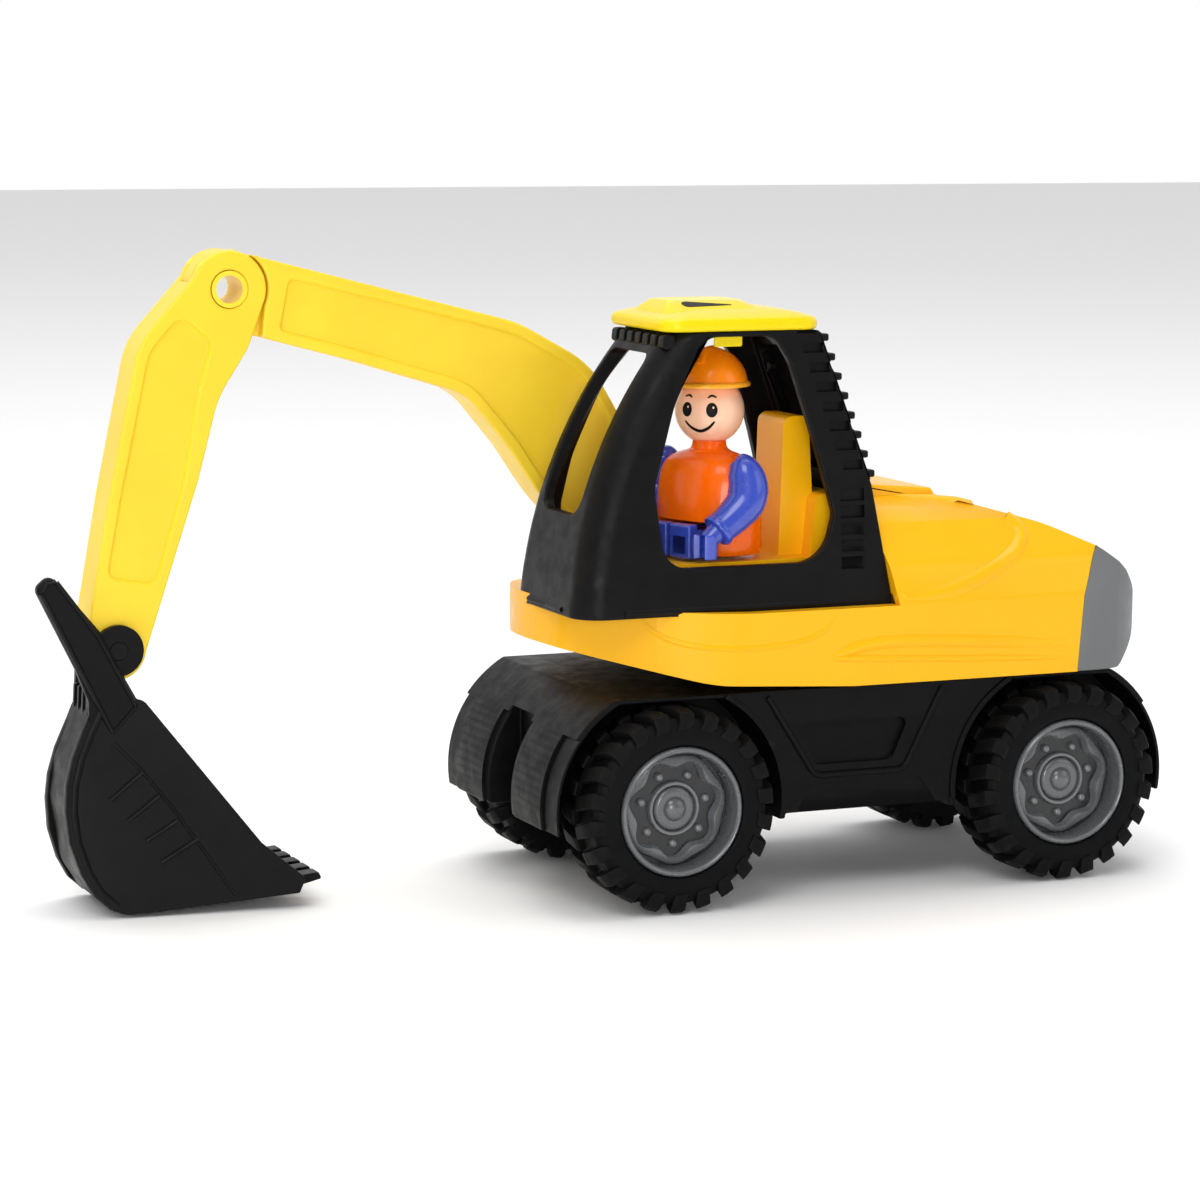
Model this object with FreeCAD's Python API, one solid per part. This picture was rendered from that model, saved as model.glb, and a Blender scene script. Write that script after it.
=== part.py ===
import FreeCAD, Part
import math
import os

# A child's wheeled toy excavator, moulded in plastic, to be pushed along and dug with by hand.
# A black chassis rolls on two steel axles. A yellow upper body turns on it and carries an
# open cab with a driver, an engine hood with a grey tail cap, and a jointed digging arm.
# Millimetres. +X is forward, +Y is the toy's left, +Z is up. The origin is on the floor,
# on the turntable's axis, midway between the two axles.

os.makedirs("parts", exist_ok=True)
Vector = FreeCAD.Vector
UP = Vector(0, 0, 1)
LEFT = Vector(0, 1, 0)

# ---- driving dimensions -----------------------------------------------------------------
WHEEL_R = 30.0            # outside of the tyre's lugs, and the height of the axles
AXLE_X = 63.7             # half the wheelbase
TYRE_OUT = 52.0           # half the width over the tyres
TYRE_IN = 29.0
RIM_R = 19.0
AXLE_R = 2.0
RUN_GAP = 0.06            # radial clearance of a running fit

FENDER_R = 37.0           # outside of the wheel arches, about the axle
FENDER_T = 2.0
CHASSIS_Y = 43.5          # half the width over the fenders
FENDER_INNER_Y = 8.5      # inner edge of a front or rear fender band
DECK_Z = 62.2             # top of the chassis deck
SILL_Z = 25.5             # bottom of the side panels
SPINE_Y = 27.0            # half the width of the box between the wheels

POST_R = 9.0              # turntable post
BODY_Y = 48.5             # half the width of the yellow body
BODY_Z = 63.0             # bottom of the yellow body
REAR_X = -96.5
NOSE_X = 94.5

CAB_RIGHT = -9.0          # cab sides at the foot
CAB_LEFT = 44.0
CAB_TOP_RIGHT = -5.0      # cab sides under the roof
CAB_TOP_LEFT = 37.5
CAB_T = 3.0
ROOF_Z = 166.4            # top of the cab frame, under the roof panel

ARM_Y = -20.0             # middle plane of the digging arm
ARM_HALF = 7.5            # half its thickness
TONGUE_HALF = 3.9         # half the thickness of the boom's tongue in the stick's fork
FORK_HALF = 4.1
BOOM_PIVOT = (52.0, 101.0)
ELBOW = (178.0, 178.0)
BUCKET_PIVOT = (212.5, 76.0)
ELBOW_BOSS_R = 11.0
BUSH_R = 5.4
BUSH_BORE_R = 4.0
PIN_R = 2.5
BUCKET_WALL = 2.4

FIGURE_X = 42.0           # where the driver sits
FIGURE_Y = 19.5
SEAT_Z = 99.6
FIGURE_TURN = 20.0        # the driver sits turned a little towards the door
HEAD_TURN = 27.0          # and looks further round still


# ---- small helpers ------------------------------------------------------------------------
def save(name, shape):
    """Write one sub-part as its own file, named after its node."""
    shape.exportStep("parts/" + name + ".step")


def in_xz(u, v):
    return Vector(u, 0, v)


def in_xy(u, v):
    return Vector(u, v, 0)


def in_yz(u, v):
    return Vector(0, u, v)


def outline(corners, place):
    """Closed wire through corners (u, v, radius), each corner rounded by a tangent arc."""
    count = len(corners)
    runs = []
    for i in range(count):
        before = Vector(corners[i - 1][0], corners[i - 1][1], 0)
        here = Vector(corners[i][0], corners[i][1], 0)
        after = Vector(corners[(i + 1) % count][0], corners[(i + 1) % count][1], 0)
        radius = corners[i][2]
        back = (before - here).normalize()
        ahead = (after - here).normalize()
        if radius <= 0 or (back + ahead).Length < 1e-6:
            runs.append((here, None, here))
            continue
        half = math.acos(max(-1.0, min(1.0, back.dot(ahead)))) / 2
        reach = radius / math.tan(half)
        middle = (back + ahead).normalize() * (radius / math.sin(half) - radius)
        runs.append((here + back * reach, here + middle, here + ahead * reach))
    edges = []
    for i in range(count):
        start, middle, end = [p and place(p.x, p.y) for p in runs[i]]
        if middle is not None:
            edges.append(Part.Arc(start, middle, end).toShape())
        following = place(runs[(i + 1) % count][0].x, runs[(i + 1) % count][0].y)
        if end.distanceToPoint(following) > 1e-6:
            edges.append(Part.makeLine(end, following))
    return Part.Wire(edges)


def plate(corners, y0, y1):
    """A flat piece with a side-view outline, from y0 to y1."""
    face = Part.Face(outline(corners, in_xz))
    face.translate(Vector(0, y0, 0))
    return face.extrude(Vector(0, y1 - y0, 0))


def slab(corners, z0, z1):
    """A flat piece with a plan-view outline, from z0 to z1."""
    face = Part.Face(outline(corners, in_xy))
    face.translate(Vector(0, 0, z0))
    return face.extrude(Vector(0, 0, z1 - z0))


def across(corners, x0, x1):
    """A piece with a front-view outline, from x0 to x1."""
    face = Part.Face(outline(corners, in_yz))
    face.translate(Vector(x0, 0, 0))
    return face.extrude(Vector(x1 - x0, 0, 0))


def rod(radius, y0, y1, x, z):
    """A round piece lying along Y."""
    return Part.makeCylinder(radius, y1 - y0, Vector(x, y0, z), LEFT)


def box(x0, x1, y0, y1, z0, z1):
    return Part.makeBox(x1 - x0, y1 - y0, z1 - z0, Vector(x0, y0, z0))


def turned(profile, x, z):
    """A turned piece about an axle along Y; the profile is (radius, y) corners."""
    points = [Vector(x + r, y, z) for r, y in profile]
    face = Part.Face(Part.makePolygon(points + points[:1]))
    return face.revolve(Vector(x, 0, z), LEFT, 360)


def mirrored(shape):
    """The same piece on the other side of the toy's centre plane."""
    return shape.mirror(Vector(0, 0, 0), LEFT)


def joined(shapes):
    whole = shapes[0]
    for shape in shapes[1:]:
        whole = whole.fuse(shape)
    return whole.removeSplitter()


def limb(points):
    """A rounded limb through (x, y, z, radius) points: balls joined by tapered runs."""
    pieces = []
    for i, (x, y, z, radius) in enumerate(points):
        here = Vector(x, y, z)
        pieces.append(Part.makeSphere(radius, here))
        if i:
            run = here - last
            pieces.append(Part.makeCone(last_radius, radius, run.Length, last, run))
        last, last_radius = here, radius
    return joined(pieces)


# ---- wheels and axles ---------------------------------------------------------------------
def tyre(x):
    """A broad soft tyre on the left side, with a rounded inner bead."""
    shoulder = 3.0
    return turned([(RIM_R, TYRE_IN + 2), (RIM_R + 2, TYRE_IN), (WHEEL_R - shoulder, TYRE_IN),
                   (WHEEL_R, TYRE_IN + shoulder), (WHEEL_R, TYRE_OUT - shoulder),
                   (WHEEL_R - shoulder, TYRE_OUT), (RIM_R + 1, TYRE_OUT - 0.6),
                   (RIM_R, TYRE_OUT - 1.2)], x, WHEEL_R)


RIM_LIP_R = 17.0
DISH_Y = 43.6             # face of the wheel disc, set back from the lip
HUB_R = 8.0
BOLT_CIRCLE_R = 10.4
BOLTS = 7


def rim(x):
    """A deep dished wheel: barrel, disc, hub boss and a ring of moulded bolt heads."""
    barrel = turned([(RIM_LIP_R, TYRE_IN + 3), (RIM_R - 0.02, TYRE_IN + 3),
                     (RIM_R - 0.02, TYRE_OUT - 1.3), (RIM_R - 0.5, TYRE_OUT - 0.1),
                     (RIM_LIP_R + 0.4, TYRE_OUT - 0.1), (RIM_LIP_R, TYRE_OUT - 1)], x, WHEEL_R)
    disc = turned([(AXLE_R, DISH_Y - 2.4), (RIM_LIP_R, DISH_Y - 2.4), (RIM_LIP_R, DISH_Y),
                   (AXLE_R, DISH_Y)], x, WHEEL_R)
    hub = turned([(AXLE_R, TYRE_IN + 1), (HUB_R, TYRE_IN + 1), (HUB_R, DISH_Y + 1.6),
                  (HUB_R - 1.4, DISH_Y + 1.6), (HUB_R - 1.4, DISH_Y + 0.2), (AXLE_R, DISH_Y + 0.2)],
                 x, WHEEL_R)
    pieces = [barrel, disc, hub]
    for i in range(BOLTS):
        angle = 2 * math.pi * (i + 0.25) / BOLTS
        pieces.append(rod(1.1, DISH_Y - 0.5, DISH_Y + 1.2, x + BOLT_CIRCLE_R * math.cos(angle),
                          WHEEL_R + BOLT_CIRCLE_R * math.sin(angle)))
    return joined(pieces)


def hub_cap(x):
    """The press-on cap that holds a wheel on its axle: a disc with a small dome."""
    back = DISH_Y + 0.2
    return turned([(0, back), (HUB_R - 1.5, back), (HUB_R - 1.5, back + 1.2),
                   (HUB_R - 2.3, back + 2.0), (3.2, back + 2.2), (2.2, back + 3.2), (0, back + 3.6)],
                  x, WHEEL_R)


def axle(x):
    return rod(AXLE_R, -DISH_Y, DISH_Y, x, WHEEL_R)


for end, axle_x in (("front", AXLE_X), ("rear", -AXLE_X)):
    save(end + "_axle", axle(axle_x))
    for piece_name, make in (("tyre", tyre), ("rim", rim), ("hub_cap", hub_cap)):
        left_piece = make(axle_x)
        save(piece_name + "_" + end + "_left", left_piece)
        save(piece_name + "_" + end + "_right", mirrored(left_piece))


# ---- chassis ------------------------------------------------------------------------------
THRUST_R = 33.0           # raised ring that the upper body turns on
THRUST_GAP = 0.05


def fender_ring(outer, y0, y1, x):
    return rod(outer, y0, y1, x, WHEEL_R)


def chassis():
    """One black moulding: deck, spine box, side panels, and arches over the four wheels."""
    inside_r = FENDER_R - FENDER_T
    envelope = plate([(-AXLE_X - 38, 24, 0), (AXLE_X + 38, 24, 0), (AXLE_X + 38, DECK_Z, 0),
                      (-AXLE_X - 38, DECK_Z, 0)], -CHASSIS_Y, CHASSIS_Y)
    arches = []
    hollows = []
    for x in (AXLE_X, -AXLE_X):
        arches.append(fender_ring(FENDER_R, -CHASSIS_Y, CHASSIS_Y, x))
        hollows.append(fender_ring(inside_r, SPINE_Y, CHASSIS_Y + 1, x))
        hollows.append(fender_ring(inside_r, -CHASSIS_Y - 1, -SPINE_Y, x))
    side_half = AXLE_X - inside_r + 2
    middle = box(-side_half - 20, side_half + 20, -CHASSIS_Y, CHASSIS_Y, SILL_Z, DECK_Z)
    hull = joined([middle] + arches).common(envelope)
    for hollow in hollows:
        hull = hull.cut(hollow.common(box(-120, 120, -60, 60, 0, DECK_Z - 1.3)))
    # The middle is a box open below; the belly plate closes it.
    wall = 2.5
    hull = hull.cut(box(-83, 83, -SPINE_Y + wall, SPINE_Y - wall, 20, DECK_Z - 2.6))
    for side in (1, -1):
        inner = box(-26, 26, SPINE_Y, CHASSIS_Y - wall, SILL_Z + wall, DECK_Z - 2.6)
        hull = hull.cut(inner if side > 0 else mirrored(inner))
    # Recess between the two fender bands at each end.
    for sign in (1, -1):
        low, high = sorted((sign * (AXLE_X + 26), sign * (AXLE_X + 40)))
        hull = hull.cut(box(low, high, -FENDER_INNER_Y, FENDER_INNER_Y, 15, DECK_Z - 9))
    hull = hull.fuse(Part.makeCylinder(THRUST_R, BODY_Z - THRUST_GAP - DECK_Z + 2,
                                       Vector(0, 0, DECK_Z - 2), UP))
    hull = hull.cut(Part.makeCylinder(POST_R + RUN_GAP, 30, Vector(0, 0, 45), UP))
    for x in (AXLE_X, -AXLE_X):
        hull = hull.cut(rod(AXLE_R + RUN_GAP, -SPINE_Y - 1, SPINE_Y + 1, x, WHEEL_R))
    return hull.removeSplitter()


BELLY_SCREW_X = 45.0
BELLY_SCREW_Y = 15.0
SCREW_R = 1.5
SCREW_HEAD_R = 2.8
HEAD_T = 1.6


def screw(x, y, z, length):
    """A small panel screw driven upwards, its pan head at the bottom."""
    head = Part.makeCylinder(SCREW_HEAD_R, HEAD_T, Vector(x, y, z), UP)
    shank = Part.makeCylinder(SCREW_R, length, Vector(x, y, z + HEAD_T), UP)
    return joined([head, shank])


BELLY_TOP = SILL_Z + 1.0
BELLY_BOTTOM = SILL_Z - 1.5
belly_points = [(x, y) for x in (-BELLY_SCREW_X, BELLY_SCREW_X)
                for y in (-BELLY_SCREW_Y, BELLY_SCREW_Y)]


def belly_plate():
    """Flat cover under the spine box, held by four screws, with axle saddles above it."""
    edge = SPINE_Y - 2.6
    cover = slab([(-58, -edge, 4), (58, -edge, 4), (58, edge, 4), (-58, edge, 4)],
                 BELLY_BOTTOM, BELLY_TOP)
    for x, y in belly_points:
        cover = cover.cut(Part.makeCylinder(SCREW_R, 10, Vector(x, y, BELLY_BOTTOM - 2), UP))
        cover = cover.cut(Part.makeCylinder(SCREW_HEAD_R, HEAD_T, Vector(x, y, BELLY_BOTTOM), UP))
    return cover


def screw_towers():
    """Four round towers under the deck that the belly screws bite into."""
    towers = []
    for x, y in belly_points:
        tube = Part.makeCylinder(3.6, DECK_Z - 2.6 - BELLY_TOP, Vector(x, y, BELLY_TOP), UP)
        pilot = Part.makeCylinder(SCREW_R, 16, Vector(x, y, BELLY_TOP), UP)
        towers.append(tube.cut(pilot))
    return towers


chassis_shape = joined([chassis()] + screw_towers())
save("chassis", chassis_shape)
save("belly_plate", belly_plate())
save("belly_screws", Part.makeCompound(
    [screw(x, y, BELLY_BOTTOM, 14) for x, y in belly_points]))

# ---- turntable ----------------------------------------------------------------------------
POST_BOTTOM = DECK_Z - 2.6 - 0.4
WASHER_R = 14.0


def turntable_post():
    """The yellow body's round post, down through the deck, with a hole for its screw."""
    post = Part.makeCylinder(POST_R, BODY_Z - POST_BOTTOM + 2.0, Vector(0, 0, POST_BOTTOM), UP)
    return post.cut(Part.makeCylinder(SCREW_R, 30, Vector(0, 0, POST_BOTTOM - 5), UP))


def turntable_washer():
    """Wide disc under the deck that keeps the upper body on."""
    disc = Part.makeCylinder(WASHER_R, 2.0, Vector(0, 0, POST_BOTTOM - 2.0), UP)
    return disc.cut(Part.makeCylinder(SCREW_R, 10, Vector(0, 0, POST_BOTTOM - 5), UP))


save("turntable_post", turntable_post())
save("turntable_washer", turntable_washer())
save("turntable_screw", screw(0, 0, POST_BOTTOM - 3.6, 6.5))


# ---- cab outline, shared by the cab frame and the body around it ---------------------------
def cab_side(inset):
    """Side view of the cab, drawn in by an inset: an upright back and a bowed front."""
    foot = 84.0 if inset else 85.6
    back = [in_xz(-6.3 + inset, foot), in_xz(-6.3 + inset, 88.0), in_xz(-0.5 + inset, 121.0),
            in_xz(15.5 + inset, ROOF_Z - inset), in_xz(61.0 - inset, ROOF_Z - inset)]
    edges = [Part.makeLine(back[i], back[i + 1]) for i in range(len(back) - 1)]
    low = in_xz(93.0 - inset, foot)
    brow = in_xz(82.5 - inset, 131.0)
    edges.append(Part.Arc(back[-1], brow, low).toShape())
    edges.append(Part.makeLine(low, back[0]))
    return Part.Face(Part.Wire(edges))


def cab_block(inset):
    """The cab as a solid block whose sides lean in towards the roof."""
    face = cab_side(inset)
    face.translate(Vector(0, -40, 0))
    block = face.extrude(Vector(0, 110, 0))
    sides = across([(CAB_RIGHT + inset, 80, 0), (CAB_LEFT - inset, 80, 0),
                    (CAB_LEFT - inset, 90, 0), (CAB_TOP_LEFT - inset, 170, 0),
                    (CAB_TOP_RIGHT + inset, 170, 0), (CAB_RIGHT + inset, 90, 0)], -40, 130)
    block = block.common(sides).removeSplitter()
    fronts = [e for e in block.Edges if e.Curve.TypeId == "Part::GeomEllipse"
              or e.CenterOfMass.x > 70 and e.BoundBox.ZLength > 30]
    return block.makeFillet(9.0 - inset * 0.8, fronts)


def cab_walls():
    """The cab block hollowed out, open below."""
    return cab_block(0).cut(cab_block(CAB_T).translated(Vector(0, 0, -1.0)))


# ---- yellow upper body --------------------------------------------------------------------
SEAM_R = 61.2             # the tail cap's seam is an arc in plan
SEAM_X = -28.8
BODY_WALL = 3.0


def body_plan(inset):
    """Plan view of the body: square-cornered tail with round corners and a bowed nose."""
    side = BODY_Y - inset
    return [(REAR_X + inset, -side, 25 - inset), (58, -side, 40), (NOSE_X - inset - 6, -24, 30),
            (NOSE_X - inset, 0, 45), (NOSE_X - inset - 6, 24, 30), (58, side, 40),
            (REAR_X + inset, side, 25 - inset)]


def body_side(inset):
    """Side view: flat bottom rising to the nose, low deck, and the hood falling to the tail."""
    return [(-83 + inset, BODY_Z + inset, 3), (8, BODY_Z + inset, 60), (52, 65.5 + inset, 60),
            (NOSE_X + 1, 76 + inset, 3),
            (NOSE_X + 1, 89 - inset, 2), (66, 87 - inset, 30), (40, 86 - inset, 30),
            (-6.8, 86 - inset, 0), (-0.8 - inset, 119.5 - inset, 2), (-28, 116 - inset, 60),
            (-60, 107 - inset, 60), (-77, 99.5 - inset, 12), (-86 + inset, 92.5 - inset, 6),
            (REAR_X + inset, 81, 4), (-91 + inset, 71, 6)]


def body_block(inset):
    """The outside of the body as a solid block, its hood crowned from side to side."""
    block = plate(body_side(inset), -60, 60)
    block = block.common(slab(body_plan(inset), 50, 130))
    side = BODY_Y - inset
    crown = [(-side, 60, 0), (side, 60, 0), (side, 86, 0), (side - 3, 97 - inset, 14),
             (side - 14, 112 - inset, 16), (0, 124 - inset, 60), (-side + 14, 112 - inset, 16),
             (-side + 3, 97 - inset, 14), (-side, 86, 0)]
    return block.common(across(crown, -120, 120)).removeSplitter()


def seam_tool():
    """Everything in front of the tail cap: a slightly flaring round column and the nose."""
    column = Part.makeCone(SEAM_R, SEAM_R + 4, 80, Vector(SEAM_X, 0, 55), UP)
    return column.fuse(box(SEAM_X, 120, -80, 80, 55, 135))


ARM_GAP = 0.25            # side gap between the boom and its bracket
BRACKET_RIGHT = ARM_Y - ARM_HALF - ARM_GAP
BRACKET_LEFT = ARM_Y + ARM_HALF + ARM_GAP
BRACKET_T = 2.7


def boom_bracket(y0, y1):
    """One upright lug that carries the boom's pin, with a foot in the deck."""
    x, z = BOOM_PIVOT
    return plate([(x - 13, 80, 0), (x + 13, 80, 0), (x + 9, z + 9, 9), (x - 9, z + 9, 9)], y0, y1)


SEAT_BACK_X = 21.5


def seat():
    """The seat rises inside the cab: a plinth under the driver and a narrow backrest."""
    plinth = slab([(2, 0, 3), (66, 0, 6), (66, 36, 6), (2, 36, 3)], 82, SEAT_Z)
    rest = plate([(10, 90, 0), (SEAT_BACK_X + 1.5, 90, 0), (SEAT_BACK_X, 140.5, 3),
                  (13.5, 140.5, 2)], 9.5, 27)
    back = plate([(0, 90, 0), (16, 90, 0), (13.5, 118, 3), (4, 118, 2)], 3, 33)
    return plinth.fuse(rest).fuse(back)


TRAY_FRONT = 24.0
TRAY_REAR = -79.0         # behind it the tail cap has a floor of its own
TRAY_T = 1.9
TRAY_GAP = 0.1
TRAY_EDGE = 3.4           # width of the shell's rim around the tray
TRAY_SCREWS = [(x, y) for x in (-55.0, 14.0) for y in (-30.0, 30.0)]


def screw_tower(x, y):
    """Round tower inside the body for one tray screw, up to the deck or the hood above it."""
    ceiling = 84.0 if x > 0 else 105.0
    tower = Part.makeCylinder(3.4, ceiling - BODY_Z - TRAY_T, Vector(x, y, BODY_Z + TRAY_T), UP)
    return tower.cut(Part.makeCylinder(SCREW_R, 12, Vector(x, y, BODY_Z + TRAY_T), UP))


def body_skin():
    """The hollow body in one piece, open below where the tray closes it."""
    outside = body_block(0)
    mouth = slab(body_plan(TRAY_EDGE - TRAY_GAP), 50, BODY_Z + 6)
    mouth = mouth.common(box(TRAY_REAR - TRAY_GAP, TRAY_FRONT + TRAY_GAP, -60, 60, 50, 90))
    return outside.cut(body_block(BODY_WALL)).cut(mouth)


def body_shell():
    """Yellow shell: hull and hood with the seat and the boom's bracket moulded on."""
    shell = body_skin().common(seam_tool())
    low, high = BRACKET_RIGHT - BRACKET_T, BRACKET_LEFT + BRACKET_T
    shell = shell.fuse(boom_bracket(low, BRACKET_RIGHT)).fuse(boom_bracket(BRACKET_LEFT, high))
    shell = joined([shell, seat()] + [screw_tower(x, y) for x, y in TRAY_SCREWS])
    shell = shell.cut(rod(PIN_R, low - 1, high + 1, *BOOM_PIVOT)).cut(cab_walls())
    return max(shell.Solids, key=lambda solid: solid.Volume)


def body_tray():
    """Flat bottom of the body, with the turntable post's seat and four screw holes."""
    tray = slab(body_plan(TRAY_EDGE), BODY_Z, BODY_Z + TRAY_T)
    tray = tray.common(box(TRAY_REAR, TRAY_FRONT, -60, 60, 50, 80))
    tray = tray.cut(Part.makeCylinder(POST_R, 20, Vector(0, 0, 55), UP))
    for x, y in TRAY_SCREWS:
        tray = tray.cut(Part.makeCylinder(SCREW_HEAD_R, 1.0, Vector(x, y, BODY_Z - 0.1), UP))
        tray = tray.cut(Part.makeCylinder(SCREW_R, 5, Vector(x, y, BODY_Z - 1), UP))
    return tray


def tray_screw(x, y):
    """A countersunk screw, flush with the tray's underside."""
    head = Part.makeCylinder(SCREW_HEAD_R, 0.8, Vector(x, y, BODY_Z + 0.1), UP)
    return head.fuse(Part.makeCylinder(SCREW_R, 9, Vector(x, y, BODY_Z + 0.9), UP))


save("body_shell", body_shell())
save("body_tray", body_tray())
save("tail_cap", body_skin().cut(seam_tool()))
save("tray_screws", Part.makeCompound([tray_screw(x, y) for x, y in TRAY_SCREWS]))


# ---- cab frame and roof -------------------------------------------------------------------
DOOR = [(66, 99.3, 8), (16, 99.3, 11), (12, 113, 6), (17.5, 133, 30), (25, 157, 10),
        (30, 165, 6), (52, 165, 7), (62, 146, 30), (69, 122, 16)]
RIGHT_WINDOW = [(74, 99.3, 8), (16, 99.3, 11), (12, 113, 6), (17.5, 133, 30), (25, 157, 10),
                (30, 163, 5), (55, 163, 5), (66.5, 150, 20), (75.5, 128, 30), (79, 112, 10)]
TAB = (38.0, 47.0)        # the roof's catch shows in the top of the door
CATCH_Y = CAB_TOP_LEFT - 5.4
CATCH_T = 1.2


def cab_frame():
    """Black open cab: a hollow block with a door, three windows and no floor."""
    frame = cab_walls().cut(box(20, 58, CAB_TOP_RIGHT + 5, CAB_TOP_LEFT - 5, ROOF_Z - 8, ROOF_Z + 5))
    frame = frame.cut(plate(DOOR, 25, 60))
    frame = frame.cut(plate(RIGHT_WINDOW, -30, 5))
    front = across([(3, 114, 6), (30, 114, 6), (29, 160, 3), (3, 160, 3)], 58, 100)
    rear = across([(-1, 123.5, 3), (36, 123.5, 3), (32.5, 160, 3), (-0.5, 160, 3)], -15, 22)
    frame = frame.cut(front).cut(rear)
    frame = frame.cut(box(TAB[0] - 0.2, TAB[1] + 0.2, CATCH_Y - 0.2, CATCH_Y + CATCH_T + 0.2, 155, 170))
    return joined([frame] + slats())


SLATS = 8
SLAT_PITCH = 5.7
SLAT_OUT = 2.0            # how far a slat stands out behind the pillar


def slats():
    """Short ledges up the back edge of both rear pillars, following their lean."""
    pieces = []
    lean = (15.5 + 0.5) / (ROOF_Z - 121.0)
    for i in range(SLATS):
        z = 123.2 + SLAT_PITCH * i
        x = -0.5 + lean * (z - 121.0)
        rise = (z - 90) / 80
        right = CAB_RIGHT + (CAB_TOP_RIGHT - CAB_RIGHT) * rise
        left = CAB_LEFT + (CAB_TOP_LEFT - CAB_LEFT) * rise
        pieces.append(box(x - SLAT_OUT, x + 3, right + 0.4, right + 5.4, z, z + 2.2))
        pieces.append(box(x - SLAT_OUT, x + 3, left - 5.4, left - 0.4, z, z + 2.2))
    return pieces


ROOF_REAR = 14.5
ROOF_FRONT = 64.5


def roof():
    """Yellow roof panel: a shallow dome with a rounded edge, and a catch over the door."""
    layers = [(ROOF_Z + 0.1, 0.6), (ROOF_Z + 3.2, 0.0), (ROOF_Z + 6.2, 4.0), (ROOF_Z + 8.4, 11.0)]
    wires = []
    for z, inset in layers:
        right, left = CAB_TOP_RIGHT - 1 + inset, CAB_TOP_LEFT + 0.6 - inset
        rear, front = ROOF_REAR + inset, ROOF_FRONT - inset
        wire = outline([(rear, right, 5), (front, right, 6), (front, left, 6), (rear, left, 5)], in_xy)
        wire.translate(Vector(0, 0, z))
        wires.append(wire)
    panel = Part.makeLoft(wires, True, True)
    catch = box(TAB[0], TAB[1], CATCH_Y, CATCH_Y + CATCH_T, 161.7, ROOF_Z + 1)
    return panel.fuse(catch).removeSplitter()


save("cab_frame", cab_frame())
save("roof", roof())


# ---- digging arm --------------------------------------------------------------------------
BOOM = [(62.8, 93.9, 0), (82.5, 115.5, 60), (92, 129.5, 40), (106, 146.2, 20), (141.8, 156.9, 0),
        (181, 167.4, 0), (175, 188.6, 0), (152, 182.7, 40), (121, 174.8, 60), (89.3, 166.8, 40),
        (66, 154, 30), (54, 134, 40), (41.2, 108.1, 0)]
STICK = [(167.6, 174.5, 0), (172.5, 161, 5), (181.5, 147, 30), (187.5, 124, 0), (203.7, 74.5, 0),
         (221.4, 78, 0), (214.2, 119, 0), (205, 163, 22), (188.4, 181.5, 0)]
BOOM_ROOT_R = 13.0
STICK_END_R = 9.0
CHEEK_GAP = 0.6           # the boom's shoulders clear the fork's round cheeks by this much


def boom_blank(y0, y1):
    """The boom's outline with its round root and round tip."""
    return joined([plate(BOOM, y0, y1), rod(BOOM_ROOT_R, y0, y1, *BOOM_PIVOT),
                   rod(ELBOW_BOSS_R, y0, y1, *ELBOW)])


def stick_blank(y0, y1):
    """The stick's outline with its round top and round lower end."""
    return joined([plate(STICK, y0, y1), rod(ELBOW_BOSS_R, y0, y1, *ELBOW),
                   rod(STICK_END_R, y0, y1, *BUCKET_PIVOT)])


def about_elbow(shape, degrees):
    turned_shape = shape.copy()
    turned_shape.rotate(Vector(ELBOW[0], 0, ELBOW[1]), LEFT, degrees)
    return turned_shape


ELBOW_CURL = 14.0         # how far the fork swings in towards the boom, with margin
ELBOW_OPEN = 56.0


def boom():
    """The bent boom. Its tip thins to a tongue between the stick's two cheeks."""
    low, high = ARM_Y - ARM_HALF, ARM_Y + ARM_HALF
    body = boom_blank(low, high)
    x, z = ELBOW
    for y0, y1 in ((low - 1, ARM_Y - TONGUE_HALF), (ARM_Y + TONGUE_HALF, high + 1)):
        body = body.cut(rod(ELBOW_BOSS_R + CHEEK_GAP, y0, y1, x, z))
        for step in range(5):
            body = body.cut(about_elbow(stick_blank(y0, y1), ELBOW_CURL * step / 4))
    recess_depth = 1.6
    recess = [(66, 103, 3), (80, 118, 50), (89, 131.5, 40), (104, 149, 20), (141, 160, 30),
              (163, 165.8, 2), (160, 181, 2), (121.6, 171.6, 60), (90.3, 163.7, 40), (68.2, 151.6, 26),
              (57, 132.6, 30), (48, 114, 3)]
    for y0, y1 in ((low, low + recess_depth), (high - recess_depth, high)):
        body = body.cut(plate(recess, y0, y1))
    body = body.cut(rod(BUSH_R, low, high, x, z))
    return body.cut(rod(PIN_R + RUN_GAP, low, high, *BOOM_PIVOT)).removeSplitter()


def stick():
    """The dipper stick: a fork at the elbow, recessed flanks, and a plain lower end."""
    low, high = ARM_Y - ARM_HALF, ARM_Y + ARM_HALF
    body = stick_blank(low, high)
    x, z = ELBOW
    tongue = boom_blank(ARM_Y - FORK_HALF, ARM_Y + FORK_HALF)
    slot = rod(ELBOW_BOSS_R + 0.6, ARM_Y - FORK_HALF, ARM_Y + FORK_HALF, x, z)
    for step in range(8):
        slot = slot.fuse(about_elbow(tongue, -ELBOW_CURL + (ELBOW_CURL + ELBOW_OPEN) * step / 7))
    body = body.cut(slot)
    recess_depth = 1.6
    recess = [(183, 163, 4), (187.5, 149, 20), (191.5, 125, 60), (200.5, 94, 3), (214.8, 96.5, 3),
              (210.6, 119, 60), (201.8, 160.5, 14), (192.5, 171, 4)]
    for y0, y1 in ((low, low + recess_depth), (high - recess_depth, high)):
        body = body.cut(plate(recess, y0, y1))
    body = body.cut(rod(BUSH_R + RUN_GAP, low, high, x, z))
    return body.cut(rod(PIN_R + RUN_GAP, low, high, *BUCKET_PIVOT)).removeSplitter()


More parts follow.
